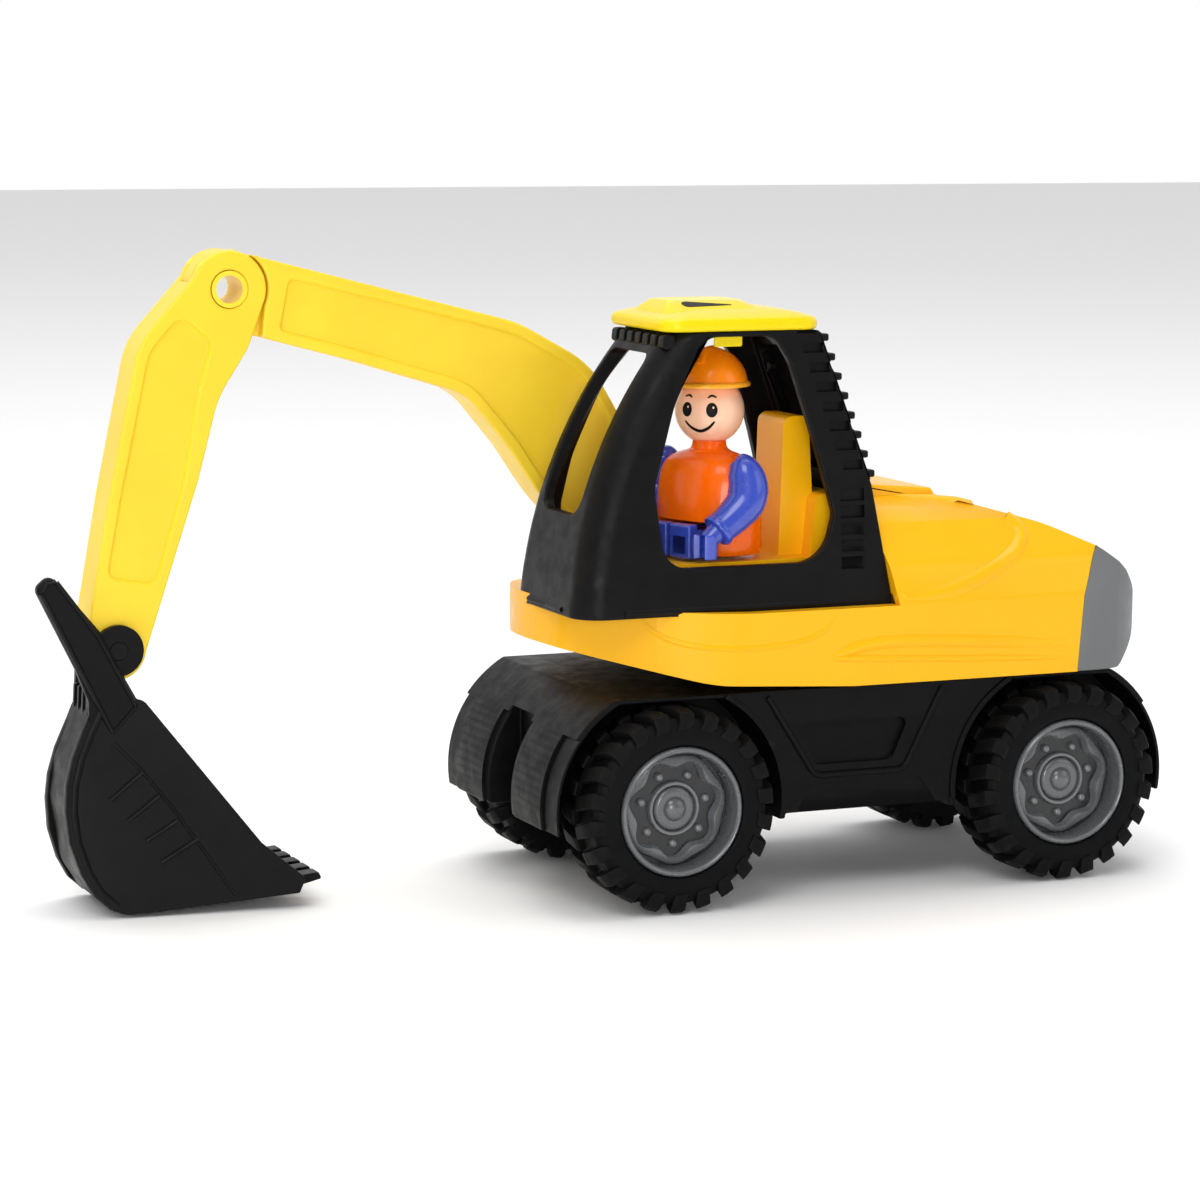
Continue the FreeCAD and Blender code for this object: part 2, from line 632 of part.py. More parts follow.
def elbow_bush():
    """Hollow bush through the elbow, open from side to side."""
    low, high = ARM_Y - ARM_HALF, ARM_Y + ARM_HALF
    tube = rod(BUSH_R, low, high, *ELBOW)
    return tube.cut(rod(BUSH_BORE_R, low, high, *ELBOW))


EAR_GAP = 0.35
EAR_T = 2.6
EAR_OUT = ARM_HALF + EAR_GAP + EAR_T
EAR_R = 7.4
TEETH = 5
EDGE_HALF = 22.0          # half the width of the cutting edge


def flare(x, z):
    """Half the bucket's width: its flat sides spread from the ears to the cutting edge."""
    return 43.3 - 0.120 * x - 0.117 * z


def flared(corners, side, wall):
    """Outline drawn on one of the bucket's slanting sides, or a wall's thickness inside it."""
    return outline(corners, lambda x, z: Vector(x, ARM_Y + side * (flare(x, z) - wall), z))


def between_sides(corners, wall):
    return Part.makeLoft([flared(corners, -1, wall), flared(corners, 1, wall)], True, True)


def bucket_teeth():
    """A row of pointed teeth along the cutting edge."""
    pitch = 2 * EDGE_HALF / TEETH
    teeth = []
    for i in range(TEETH):
        start = ARM_Y - EDGE_HALF + pitch * i + 1.4
        teeth.append(plate([(172, 3.8, 0), (172, 8.2, 0), (156.4, 9.6, 0.6), (155.4, 7.6, 0.6)],
                           start, start + pitch - 2.8))
    return teeth


def bucket():
    """Backhoe bucket, open towards the toy, with teeth, two ears and a lever on the left ear."""
    outside = [(219, 64, 8), (227, 44, 14), (228.5, 32, 14), (225, 13, 12), (217, 0.6, 10), (203, 1.4, 8),
               (163, 4.4, 0), (161, 8.6, 0), (173.5, 19.5, 0), (205.5, 61.5, 3)]
    inside = [(216, 61, 5), (224.4, 44, 12), (225.8, 32, 12), (222.4, 14.6, 10), (215.6, 4.2, 8),
              (203, 4.6, 8), (163, 7.2, 0), (150, 16, 0), (176, 60, 0), (202, 80, 0)]
    body = between_sides(outside, 0).cut(between_sides(inside, BUCKET_WALL))
    near, far = ARM_Y + ARM_HALF + EAR_GAP, ARM_Y - ARM_HALF - EAR_GAP - EAR_T
    lever = [(232.2, 99, 2.5), (236.8, 95, 2.5), (225, 71, 4), (221.5, 62, 4), (221, 46, 3),
             (206, 44, 3), (205.8, 59, 2), (218.5, 82, 8)]
    ear = [(220, 74, 3), (221, 46, 3), (206, 44, 3), (205.8, 60, 2), (207, 72, 3)]
    body = body.fuse(plate(lever, near, near + EAR_T)).fuse(plate(ear, far, far + EAR_T))
    for y in (near, far):
        body = body.fuse(rod(EAR_R, y, y + EAR_T, *BUCKET_PIVOT))
    body = body.fuse(plate([(217, 66, 1), (220, 66, 1), (221, 47, 0), (217, 47, 0)], far, near + EAR_T))
    body = joined([body] + bucket_teeth())
    return body.cut(rod(PIN_R, far - 1, near + EAR_T + 1, *BUCKET_PIVOT))


def pin(pivot, half):
    """A plain steel pin through a pivot."""
    return rod(PIN_R, ARM_Y - half, ARM_Y + half, *pivot)


save("boom", boom())
save("stick", stick())
save("elbow_bush", elbow_bush())
save("bucket", bucket())
save("boom_pin", pin(BOOM_PIVOT, ARM_HALF + ARM_GAP + BRACKET_T))
save("bucket_pin", pin(BUCKET_PIVOT, EAR_OUT))


# ---- driver -------------------------------------------------------------------------------
# The driver is drawn looking along +X with the seat at z = 0, then set in its place.
SEAT_GAP = 0.3
NECK_Z = 33.0
HEAD_Z = 42.6
HEAD_R = 10.3


def seated(shape):
    shape.rotate(Vector(0, 0, 0), UP, FIGURE_TURN)
    shape.translate(Vector(FIGURE_X, FIGURE_Y, SEAT_Z + SEAT_GAP))
    return shape


def oval(half_x, half_y, z):
    """Oval section of the torso."""
    if half_y > half_x:
        curve = Part.Ellipse(Vector(0, half_y, z), Vector(-half_x, 0, z), Vector(0, 0, z))
    else:
        curve = Part.Ellipse(Vector(half_x, 0, z), Vector(0, half_y, z), Vector(0, 0, z))
    return Part.Wire(curve.toShape())


def torso():
    """Bell-shaped torso with a neck stub, notched in front for the legs."""
    bell = Part.makeLoft([oval(12, 18, 0), oval(10.8, 15.6, 12), oval(8.6, 10.8, 25), oval(6, 7.6, 31)],
                         True, False)
    neck = Part.makeCylinder(4.8, NECK_Z - 29, Vector(0, 0, 29), UP)
    peg = Part.makeCylinder(2.4, 5.0, Vector(0, 0, NECK_Z - 0.5), UP)
    notch = box(-6, 20, -10.2, 10.2, -1, 11.2)
    return joined([bell, neck, peg]).cut(notch)


def legs():
    """Both legs in one moulding, straight out in front, with upturned shoes."""
    pieces = [Part.makeCylinder(4.2, 18.4, Vector(-1, -9.2, 4.6), LEFT)]
    for y0 in (-9.2, 0.6):
        pieces.append(box(-1, 16.5, y0, y0 + 8.6, 0.4, 8.8))
        pieces.append(box(13, 17.0, y0, y0 + 8.6, 0.4, 10.8))
    return joined(pieces)


def arm(side):
    """One bent arm with a gripping hand; side is +1 for the driver's left."""
    reach = limb([(0, side * 16.8, 25.0, 4.6), (-0.5, side * 20.8, 14.5, 4.4), (11.5, side * 16.4, 7.8, 3.6)])
    hand = Part.makeCylinder(3.4, 7.2, Vector(14.6, side * 14.4, 2.2), UP)
    grip = Part.makeCylinder(1.8, 9, Vector(16.2, side * 14.0, 1.6), UP)
    return reach.fuse(hand).cut(grip).removeSplitter()


def head():
    """Round head with a flat under the chin and a socket on the neck peg."""
    ball = Part.makeSphere(HEAD_R, Vector(0, 0, HEAD_Z))
    ball = ball.cut(Part.makeBox(40, 40, 20, Vector(-20, -20, NECK_Z + 0.1 - 20)))
    return ball.cut(Part.makeCylinder(2.4 + RUN_GAP, 5.2, Vector(0, 0, NECK_Z - 0.5), UP))


BRIM_Z = 49.6


def helmet():
    """Hard hat dome over the top of the head."""
    dome = Part.makeSphere(11.4, Vector(0, 0, BRIM_Z + 0.1))
    dome = dome.common(Part.makeBox(40, 40, 20, Vector(-20, -20, BRIM_Z + 1.4)))
    return dome.cut(Part.makeSphere(HEAD_R, Vector(0, 0, HEAD_Z)))


def helmet_brim():
    """Flat rim of the hard hat, longer at the front."""
    ring = Part.makeCylinder(12.2, 1.4, Vector(0, 0, BRIM_Z), UP)
    peak = Part.makeCylinder(10.0, 1.4, Vector(4.6, 0, BRIM_Z), UP)
    return ring.fuse(peak).cut(Part.makeSphere(HEAD_R, Vector(0, 0, HEAD_Z))).removeSplitter()


save("driver_torso", seated(torso()))
save("driver_legs", seated(legs()))
save("driver_arm_left", seated(arm(1)))
save("driver_arm_right", seated(arm(-1)))
for piece_name, make in (("head", head), ("helmet", helmet), ("helmet_brim", helmet_brim)):
    piece = make()
    piece.rotate(Vector(0, 0, 0), UP, HEAD_TURN)
    save("driver_" + piece_name, seated(piece))
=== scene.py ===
# %% Load the frame
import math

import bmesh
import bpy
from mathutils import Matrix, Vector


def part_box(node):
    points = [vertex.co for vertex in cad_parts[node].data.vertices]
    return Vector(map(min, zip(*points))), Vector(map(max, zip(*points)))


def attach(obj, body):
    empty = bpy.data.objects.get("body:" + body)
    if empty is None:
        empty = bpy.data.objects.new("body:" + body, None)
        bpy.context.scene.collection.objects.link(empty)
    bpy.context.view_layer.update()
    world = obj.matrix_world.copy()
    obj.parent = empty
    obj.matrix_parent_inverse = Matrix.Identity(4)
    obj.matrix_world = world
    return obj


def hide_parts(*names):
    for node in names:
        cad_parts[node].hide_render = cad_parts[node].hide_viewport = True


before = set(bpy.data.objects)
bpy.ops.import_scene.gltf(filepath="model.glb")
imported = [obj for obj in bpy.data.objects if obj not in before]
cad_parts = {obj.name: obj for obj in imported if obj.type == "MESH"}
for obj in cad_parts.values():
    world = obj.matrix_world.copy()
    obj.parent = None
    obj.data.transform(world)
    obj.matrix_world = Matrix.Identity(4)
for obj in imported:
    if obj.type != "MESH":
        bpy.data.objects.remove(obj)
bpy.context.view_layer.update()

# %% [markdown]
# # A wheeled toy excavator
# The toy is moulded in plastic: black chassis and cab, yellow body, roof and digging arm, soft
# black tyres, silver wheels, and a small driver. The frame already holds every solid in its
# right place. This lesson gives each one its moulded edges, its raised and sunk details, and a
# finish with grain. All sizes are written in millimetres and turned into metres in one place.

MM = 0.001
WELD = 2e-6    # points nearer than this become one

# %% [markdown]
# ## Shapes from points
# Nearly every moulded part is a flat outline with rounded corners, given a thickness. One helper
# rounds the corners and one turns the outline into a solid, as on a toolmaker's drawing.


# %% Points into a mesh, and outlines into solids
def in_scene(name, data):
    """A new object that holds a mesh, a light or a camera."""
    made = bpy.data.objects.new(name, data)
    bpy.context.scene.collection.objects.link(made)
    return made


def written(shape, mesh):
    """Write an edited shape into its mesh."""
    shape.to_mesh(mesh)
    shape.free()
    return mesh


def mesh_piece(name, points, faces):
    """A new piece from points in millimetres and faces, its normals facing out."""
    mesh = bpy.data.meshes.new(name)
    mesh.from_pydata([Vector(p) * MM for p in points], [], faces)
    shape = bmesh.new()
    shape.from_mesh(mesh)
    bmesh.ops.remove_doubles(shape, verts=shape.verts, dist=WELD)
    bmesh.ops.recalc_face_normals(shape, faces=shape.faces)
    return in_scene(name, written(shape, mesh))


def rounded(corners, steps=6):
    """Points round a closed outline; each corner is (u, v, radius)."""
    points = []
    for i, (u, v, radius) in enumerate(corners):
        here = Vector((u, v))
        back = (Vector(corners[i - 1][:2]) - here).normalized()
        ahead = (Vector(corners[(i + 1) % len(corners)][:2]) - here).normalized()
        if radius <= 0 or (back + ahead).length < 1e-4:
            points.append(here)
            continue
        half = back.angle(ahead) / 2
        centre = here + (back + ahead).normalized() * (radius / math.sin(half))
        reach = radius / math.tan(half)
        first, last = here + back * reach - centre, here + ahead * reach - centre
        for s in range(steps + 1):
            points.append(centre + first.lerp(last, s / steps).normalized() * radius)
    return points


def side_view(u, v, depth):
    return (u, depth, v)


def front_view(u, v, depth):
    return (depth, u, v)


def prism(name, corners, low, high, view=side_view, steps=6):
    """A solid with an outline in one view, from low to high across it."""
    ring = rounded(corners, steps)
    count = len(ring)
    points = [view(p.x, p.y, low) for p in ring] + [view(p.x, p.y, high) for p in ring]
    faces = [tuple(range(count)), tuple(range(count, 2 * count))]
    faces += [(i, (i + 1) % count, (i + 1) % count + count, i + count) for i in range(count)]
    return mesh_piece(name, points, faces)


def block(name, x, y, z):
    """A box between two corners, given as pairs."""
    return prism(name, [(x[0], z[0], 0), (x[1], z[0], 0), (x[1], z[1], 0), (x[0], z[1], 0)], *y)


print("outline helpers ready")

# %% [markdown]
# ## Turned shapes and skins
# Wheels are turned on a lathe, so a profile of (radius, depth) corners is spun about the axle. A
# profile may change with the angle, which gives a wavy rim. A skin joins a row of rings, which
# suits a roof, a torso or a raised bead on a curved wall.


# %% Lathe and skin
def skin(name, rings, closed=True, caps=True):
    """A surface over rings of points that all have the same count."""
    count = len(rings[0])
    points = [p for ring in rings for p in ring]
    last = count if closed else count - 1
    faces = []
    for k in range(len(rings) - 1):
        for i in range(last):
            j = (i + 1) % count
            faces.append((k * count + i, k * count + j, (k + 1) * count + j, (k + 1) * count + i))
    if caps:
        faces.append(tuple(range(count)))
        faces.append(tuple(range(len(points) - count, len(points))))
    return mesh_piece(name, points, faces)


def spun(name, profile, x=0.0, z=0.0, steps=72):
    """A closed profile of (radius, y) corners, or a function of the angle, spun about Y."""
    rings = []
    for s in range(steps + 1):
        angle = 2 * math.pi * (s % steps) / steps
        corners = profile(angle) if callable(profile) else profile
        rings.append([(x + r * math.cos(angle), y, z + r * math.sin(angle)) for r, y in corners])
    return skin(name, rings, caps=False)


print("lathe and skin ready")

# %% [markdown]
# ## Taking over a solid, cutting and rounding
# A moulded part often needs its own solid plus a few pockets and ribs. The solid's mesh is copied
# into a new object and its flat triangles are merged. A bevel rounds the edges, because a mould
# never leaves a knife edge, and it is the rounded edge that catches the light. Small pockets are
# cut afterwards, since a bevel of a finely cut wall would tear it. A point that the bevel throws
# off the solid goes back to the nearest place on it.


# %% Copy, carve, join, soften
STRAY = 0.6  # a point this share of the bevel's width off the solid has gone astray


def settle(piece):
    """Make the modifiers' result the piece's own mesh."""
    bpy.context.view_layer.update()
    shaped = bpy.data.meshes.new_from_object(
        piece.evaluated_get(bpy.context.evaluated_depsgraph_get()))
    piece.modifiers.clear()
    piece.data = shaped
    return piece


def copied(name, node):
    """A new piece with a node's shape, its coplanar triangles merged."""
    shape = bmesh.new()
    shape.from_mesh(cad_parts[node].data)
    bmesh.ops.remove_doubles(shape, verts=shape.verts, dist=WELD)
    bmesh.ops.dissolve_limit(shape, angle_limit=math.radians(0.4), verts=shape.verts,
                             edges=shape.edges)
    return in_scene(name, written(shape, bpy.data.meshes.new(name)))


def carve(piece, tools):
    """Cut tools out of a piece."""
    for tool in tools:
        change = piece.modifiers.new("carve", "BOOLEAN")
        change.operation = "DIFFERENCE"
        change.solver = "EXACT"
        change.object = tool
        settle(piece)
        bpy.data.objects.remove(tool)
    return piece


def together(name, pieces):
    """Several pieces as one object, without welding them."""
    shape = bmesh.new()
    for piece in pieces:
        shape.from_mesh(piece.data)
        bpy.data.objects.remove(piece)
    return in_scene(name, written(shape, bpy.data.meshes.new(name)))


def round_edges(piece, width, angle=30, segments=3, node=None, clamp=False):
    """Bevel the hard edges; points thrown off a node's own surface go back onto it."""
    edge = piece.modifiers.new("edge", "BEVEL")
    edge.width = width * MM
    edge.segments = segments
    edge.limit_method = "ANGLE"
    edge.angle_limit = math.radians(angle)
    edge.use_clamp_overlap = clamp
    settle(piece)
    if node:
        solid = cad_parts[node]
        low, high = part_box(node)
        for point in piece.data.vertices:
            _, place, _, _ = solid.closest_point_on_mesh(point.co)
            if (place - point.co).length > STRAY * width * MM:
                point.co = place
            point.co = [min(max(c, a), b) for c, a, b in zip(point.co, low, high)]
    return piece


def mirrored(piece, side):
    """A piece made for the left side, turned over when the side is -1."""
    piece.data.transform(Matrix.Diagonal((1, side, 1, 1)))
    if side < 0:
        piece.data.flip_normals()
    return piece


def soften(piece, width=0.5, angle=34, segments=2, sharp=40):
    """Round the hard edges by a width in millimetres and shade the piece smoothly."""
    if width:
        round_edges(piece, width, angle, segments)
    piece.data.shade_smooth()
    piece.data.set_sharp_from_angle(angle=math.radians(sharp))
    even = piece.modifiers.new("even", "WEIGHTED_NORMAL")
    even.keep_sharp = True
    return piece


def moulded(name, node, width, angle=30, segments=3, tools=(), clamp=False):
    """A node's copy with rounded edges, then any pockets, shaded smoothly."""
    piece = round_edges(copied(name, node), width, angle, segments, node, clamp)
    carve(piece, tools)
    return soften(piece, 0)


def show(piece, body, finish, slot, *nodes):
    """Give a piece its finish and the body it rides on, in place of some nodes."""
    piece.data.materials.clear()
    piece.data.materials.append(finish)
    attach(piece, body)
    if nodes:
        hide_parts(*nodes)
    print(f"{piece.name}: {len(piece.data.polygons)} faces on {body}")
    return piece


print("workshop ready")

# %% [markdown]
# ## Moulded plastic
# Toy plastic is coloured through, so its colour hardly varies, but its surface does. The mould
# leaves a fine grain, handling leaves soft smears in the gloss, and raised edges go a little
# paler. The shader shifts one colour by a slow noise, lightens it on edges through the
# pointiness of the mesh, and lets two noises move the roughness and the bump. The paler edges
# are partly wear and partly a painted highlight; on the silver wheels they paint the lip's shine.


# %% A finish for moulded plastic
def linear(r, g, b):
    """Screen colour, 0 to 255, as the light values that shaders work in."""
    return tuple((c / 255 / 12.92) if c < 10 else ((c / 255 + 0.055) / 1.055) ** 2.4
                 for c in (r, g, b))


def node(tree, kind, settings=(), **values):
    """A shader node with some of its inputs set."""
    made = tree.nodes.new(kind)
    for key, value in settings:
        setattr(made, key, value)
    for key, value in values.items():
        made.inputs[key.replace("_", " ")].default_value = value
    return made


def ramp(tree, source, low, high, start=0.35, end=0.65):
    """Spread part of a noise's range over two values."""
    made = node(tree, "ShaderNodeMapRange", From_Min=start, From_Max=end, To_Min=low, To_Max=high)
    tree.links.new(source, made.inputs["Value"])
    return made.outputs["Result"]


def plastic(name, colour, rough=0.35, grain=0.25, grain_size=0.35, drift=0.06, specular=0.5,
            coat=0.0, edge=1.25, stretch=None):
    """Moulded plastic: colour drift, pale edges (wear and painted highlight), smeared gloss and a
    fine grain.
    """
    finish = bpy.data.materials.new(name)
    finish.use_nodes = True
    tree = finish.node_tree
    shader = tree.nodes["Principled BSDF"]
    shader.inputs["Specular IOR Level"].default_value = specular
    shader.inputs["Coat Weight"].default_value = coat
    shader.inputs["Coat Roughness"].default_value = 0.12
    place = node(tree, "ShaderNodeTexCoord").outputs["Object"]
    drifts = node(tree, "ShaderNodeTexNoise", Scale=38.0, Detail=3.0, Roughness=0.55)
    smears = node(tree, "ShaderNodeTexNoise", Scale=170.0, Detail=5.0, Roughness=0.65)
    if stretch:
        pulled = node(tree, "ShaderNodeMapping", Scale=stretch)
        tree.links.new(place, pulled.inputs["Vector"])
        tree.links.new(pulled.outputs["Vector"], smears.inputs["Vector"])
    else:
        tree.links.new(place, smears.inputs["Vector"])
    grains = node(tree, "ShaderNodeTexNoise", Scale=1 / (grain_size * MM), Detail=2.0)
    for noise in (drifts, grains):
        tree.links.new(place, noise.inputs["Vector"])
    base = linear(*colour)
    dark = tuple(c * (1 - drift) for c in base) + (1,)
    light = tuple(min(1.0, c * (1 + drift)) for c in base) + (1,)
    # Edges lightened by the edge factor: wear, and a painted highlight where the factor is large.
    worn_and_highlit = tuple(min(1.0, c * edge + 0.004) for c in base) + (1,)
    body = node(tree, "ShaderNodeMix", [("data_type", "RGBA")])
    body.inputs[6].default_value, body.inputs[7].default_value = dark, light
    tree.links.new(ramp(tree, drifts.outputs["Fac"], 0.0, 1.0), body.inputs[0])
    edges = node(tree, "ShaderNodeMix", [("data_type", "RGBA")])
    edges.inputs[7].default_value = worn_and_highlit
    tree.links.new(body.outputs[2], edges.inputs[6])
    corner = node(tree, "ShaderNodeNewGeometry").outputs["Pointiness"]
    tree.links.new(ramp(tree, corner, 0.0, 0.7, 0.52, 0.62), edges.inputs[0])
    tree.links.new(edges.outputs[2], shader.inputs["Base Color"])
    gloss = ramp(tree, smears.outputs["Fac"], rough * 0.82, min(1.0, rough * 1.25))
    tree.links.new(gloss, shader.inputs["Roughness"])
    bump = node(tree, "ShaderNodeBump", Strength=grain, Distance=0.00006)
    tree.links.new(grains.outputs["Fac"], bump.inputs["Height"])
    tree.links.new(bump.outputs["Normal"], shader.inputs["Normal"])
    return finish


body_yellow = plastic("body_yellow", (246, 180, 4), rough=0.34, drift=0.03, coat=0.15, edge=1.0,
                      specular=0.2)
arm_yellow = plastic("arm_yellow", (246, 208, 50), rough=0.36, drift=0.03, coat=0.12,
                     specular=0.2)
roof_yellow = plastic("roof_yellow", (236, 207, 2), rough=0.3, drift=0.03, coat=0.2,
                      specular=0.15)
cab_black = plastic("cab_black", (14, 14, 15), rough=0.4, drift=0.14, grain=0.45, specular=0.12,
                    edge=2.0)
frame_black = plastic("frame_black", (9, 9, 10), rough=0.42, drift=0.14, grain=0.5, specular=0.1,
                      edge=2.4)
bucket_black = plastic("bucket_black", (9, 9, 10), rough=0.38, drift=0.16, grain=0.4,
                       specular=0.12, edge=2.4)
cap_grey = plastic("cap_grey", (108, 109, 110), rough=0.42, drift=0.05, grain=0.4, specular=0.3)
# The silver's strong edge factor paints a highlight on the wheel's rolled lip and other raised
# edges.
silver = plastic("silver", (84, 86, 88), rough=0.26, drift=0.08, grain=0.25, specular=0.6,
                 coat=0.4, edge=2.2)
# Painted shade: a dark silver for the floor of the wheel's well, which lies in the shade of its
# wall.
painted_shade_silver = plastic("painted_shade_silver", (34, 35, 36), rough=0.3, drift=0.1, grain=0.25,
                        specular=0.4, coat=0.3, edge=2.2)
driver_orange = plastic("driver_orange", (255, 104, 2), rough=0.26, drift=0.03, coat=0.3,
                        specular=0.2)
hat_orange = plastic("hat_orange", (252, 134, 10), rough=0.28, drift=0.03, coat=0.3, specular=0.2)
brim_orange = plastic("brim_orange", (255, 166, 40), rough=0.28, drift=0.03, coat=0.3,
                      specular=0.2)
driver_blue = plastic("driver_blue", (50, 72, 178), rough=0.24, drift=0.04, coat=0.5)
driver_skin = plastic("driver_skin", (252, 200, 166), rough=0.33, drift=0.03, coat=0.25)
paint_black = plastic("paint_black", (10, 7, 7), rough=0.4, drift=0.1, specular=0.1, edge=1.0)
print("plastics mixed:", len(bpy.data.materials))

# %% [markdown]
# ## Rubber and steel
# The tyres are a soft, dull compound with a coarser skin than the hard plastic. The axles, pins
# and screws are drawn steel, whose fine lines run along the bar, so a noise is stretched hard.

# %% Tyre and steel finishes
tyre_black = plastic("tyre_black", (9, 9, 9), rough=0.55, grain=0.8, grain_size=0.5, drift=0.25,
                     specular=0.1, edge=2.2)
drawn_steel = plastic("drawn_steel", (168, 168, 172), rough=0.32, grain=0.3, drift=0.06,
                      stretch=(1.0, 0.03, 1.0))
drawn_steel.node_tree.nodes["Principled BSDF"].inputs["Metallic"].default_value = 1.0
print("tyre and steel ready")

# %% [markdown]
# ## Tyre
# The tyre is a spun carcass with two rows of chunky lugs, set half a pitch apart, that wrap from
# the tread down over the shoulder. Each lug is one small outline in the (radius, depth) plane,
# swept over a few degrees and slanted, so that the edge reads as a saw from the side.

# %% Tyre carcass and lugs
WHEEL_R = 30.0
LUGS = 22
TREAD_Y = 40.5         # the middle of the tread
SHOULDER_R = 26.5      # a lug leans further once it is nearer the axle than this
BLOCK_R = 29.0         # and it is a little narrower beyond this
carcass = [(19.0, 31.0), (21.0, 29.2), (25.6, 29.2), (27.2, 31.5), (27.5, 40.5), (27.2, 49.4),
           (25.8, 50.9), (24.4, 51.2), (21.4, 51.5), (19.6, 51.2), (19.0, 50.4)]
OUTER_LUG = [(26.6, 41.2), (29.4, 41.2), (29.95, 42.2), (29.95, 48.6), (28.9, 51.2), (26.0, 51.95),
             (24.0, 51.6), (24.2, 50.4), (26.4, 49.0)]
INNER_LUG = [(26.6, 39.8), (29.4, 39.8), (29.95, 38.8), (29.95, 32.4), (28.9, 29.9), (26.0, 29.1),
             (24.6, 29.1), (24.6, 30.4), (26.4, 32.0)]


def lug(profile, start, sweep=9.4, slant=0.55):
    """One tread block: its outline swept over some degrees and slanted with depth."""
    rings = []
    for angle in (0.0, 0.5, 1.0):
        ring = []
        for r, y in profile:
            lean = slant * abs(y - TREAD_Y) - (SHOULDER_R - r) * 1.1 * (r < SHOULDER_R)
            narrow = 0.86 if r > BLOCK_R else 1.0
            turn = math.radians(start + lean + sweep * (0.5 + (angle - 0.5) * narrow))
            ring.append((r * math.cos(turn), y, r * math.sin(turn)))
        rings.append(ring)
    return skin("lug", rings)


def tyre_piece(name, side):
    parts = [spun("carcass", carcass)]
    for i in range(LUGS):
        parts.append(lug(OUTER_LUG, 360 * i / LUGS))
        parts.append(lug(INNER_LUG, 360 * (i + 0.5) / LUGS))
    return soften(mirrored(together(name, parts), side), 0.35, 38, 2)


AXLE_X = {"front": 63.7, "rear": -63.7}
SIDES = {"left": 1, "right": -1}
wheel_body = {"front": "front_wheels", "rear": "rear_wheels"}


def mounted(piece, end):
    """Set a wheel part on its axle."""
    piece.location = Vector((AXLE_X[end], 0, WHEEL_R)) * MM
    return piece


for end in AXLE_X:
    for side, sign in SIDES.items():
        tyre = mounted(tyre_piece(f"tread_{end}_{side}", sign), end)
        show(tyre, wheel_body[end], tyre_black, "tyre", f"tyre_{end}_{side}")

# %% [markdown]
# ## Wheel and hub cap
# The silver wheel is deeply dished. From outside in it has a bright rolled lip, a dark well, a
# raised wavy ring with seven lobes, seven domed bolt heads, a hub ring and a pressed-on cap with
# a small dome. All of it is turned; only the wavy ring lets its radius follow the angle. The
# floor of the well is a piece of its own, so that it can carry painted shade: a much darker
# silver than the rest, standing for the shade of the well's own wall.

# %% Wheel with its lobed ring and bolts
LOBES = 7
DISH = 43.7        # depth of the well's floor
BOLT_R = 10.4      # radius of the circle of bolts


def lobed(angle):
    """Profile of the wavy ring at one angle."""
    wave = math.cos(LOBES * (angle - 0.22))
    inner, outer = 12.9 + 1.15 * wave, 15.9 + 0.45 * wave
    return [(inner, DISH - 0.3), (inner + 0.4, DISH + 1.9), (inner + 0.9, DISH + 2.6),
            (outer - 0.6, DISH + 2.4), (outer, DISH + 1.6), (outer + 0.5, DISH - 0.3)]


LIP = [(17.0, 33.0), (18.95, 33.0), (18.95, 50.7), (18.6, 51.5), (18.05, 51.85), (17.5, 51.6),
       (17.15, 50.9), (17.0, 49.6), (16.6, 46.0)]
DISC = [(0.0, DISH - 2.3), (17.2, DISH - 2.3), (17.2, DISH + 0.5), (16.4, DISH), (12.0, DISH),
        (9.4, DISH + 0.35), (0.0, DISH + 0.35)]
HUB = [(0.0, 30.0), (8.2, 30.0), (8.2, DISH + 1.1), (7.7, DISH + 1.8), (7.0, DISH + 1.8),
       (6.6, DISH + 1.2), (6.4, DISH + 0.1), (0.0, DISH + 0.1)]
BOLT = [(0.0, DISH - 0.2), (1.25, DISH - 0.2), (1.2, DISH + 1.0), (0.85, DISH + 1.5),
        (0.0, DISH + 1.7)]


def wheel_piece(name, side):
    parts = [spun("lip", LIP, steps=96), spun("hub", HUB), spun("lobes", lobed, steps=168)]
    for i in range(LOBES):
        turn = 2 * math.pi * (i + 0.25) / LOBES
        parts.append(spun("bolt", BOLT, BOLT_R * math.cos(turn), BOLT_R * math.sin(turn), 20))
    return soften(mirrored(together(name, parts), side), 0, sharp=50)


def well_piece(name, side):
    """The floor of the dish, which lies in the shade of its own wall; its darker silver is painted
    shade.
    """
    return soften(mirrored(spun(name, DISC, steps=96), side), 0, sharp=50)


CAP = [(0.0, DISH + 0.2), (6.3, DISH + 0.2), (6.3, DISH + 1.2), (5.9, DISH + 1.9),
       (5.0, DISH + 2.1), (3.6, DISH + 2.0), (3.3, DISH + 2.6), (2.6, DISH + 3.3),
       (1.4, DISH + 3.75), (0.0, DISH + 3.9)]


def cap_piece(name, side):
    return soften(mirrored(spun(name, CAP, steps=64), side), 0, sharp=50)


for end in AXLE_X:
    for side, sign in SIDES.items():
        wheel = mounted(wheel_piece(f"wheel_{end}_{side}", sign), end)
        show(wheel, wheel_body[end], silver, "wheel_silver", f"rim_{end}_{side}")
        well = mounted(well_piece(f"well_{end}_{side}", sign), end)
        # The well's floor wears the darker silver as painted shade.
        show(well, wheel_body[end], painted_shade_silver, "wheel_silver")
        cap = mounted(cap_piece(f"cap_{end}_{side}", sign), end)
        show(cap, wheel_body[end], silver, "wheel_silver", f"hub_cap_{end}_{side}")

# %% [markdown]
# ## Chassis
# One black moulding carries the deck, the wheel arches and the side panels. The arches have a
# raised band with a step along each edge. The panel between the wheels has a sunk tray with
# slanting ends, framed by a ridge that runs into a lip round each arch. The steps and the tray
# are cut out of the copied solid, and the ridge and lips are laid on it.

# %% Chassis with its stepped arches and side panels
ARCH_R = 37.0
PANEL_Y = 43.5


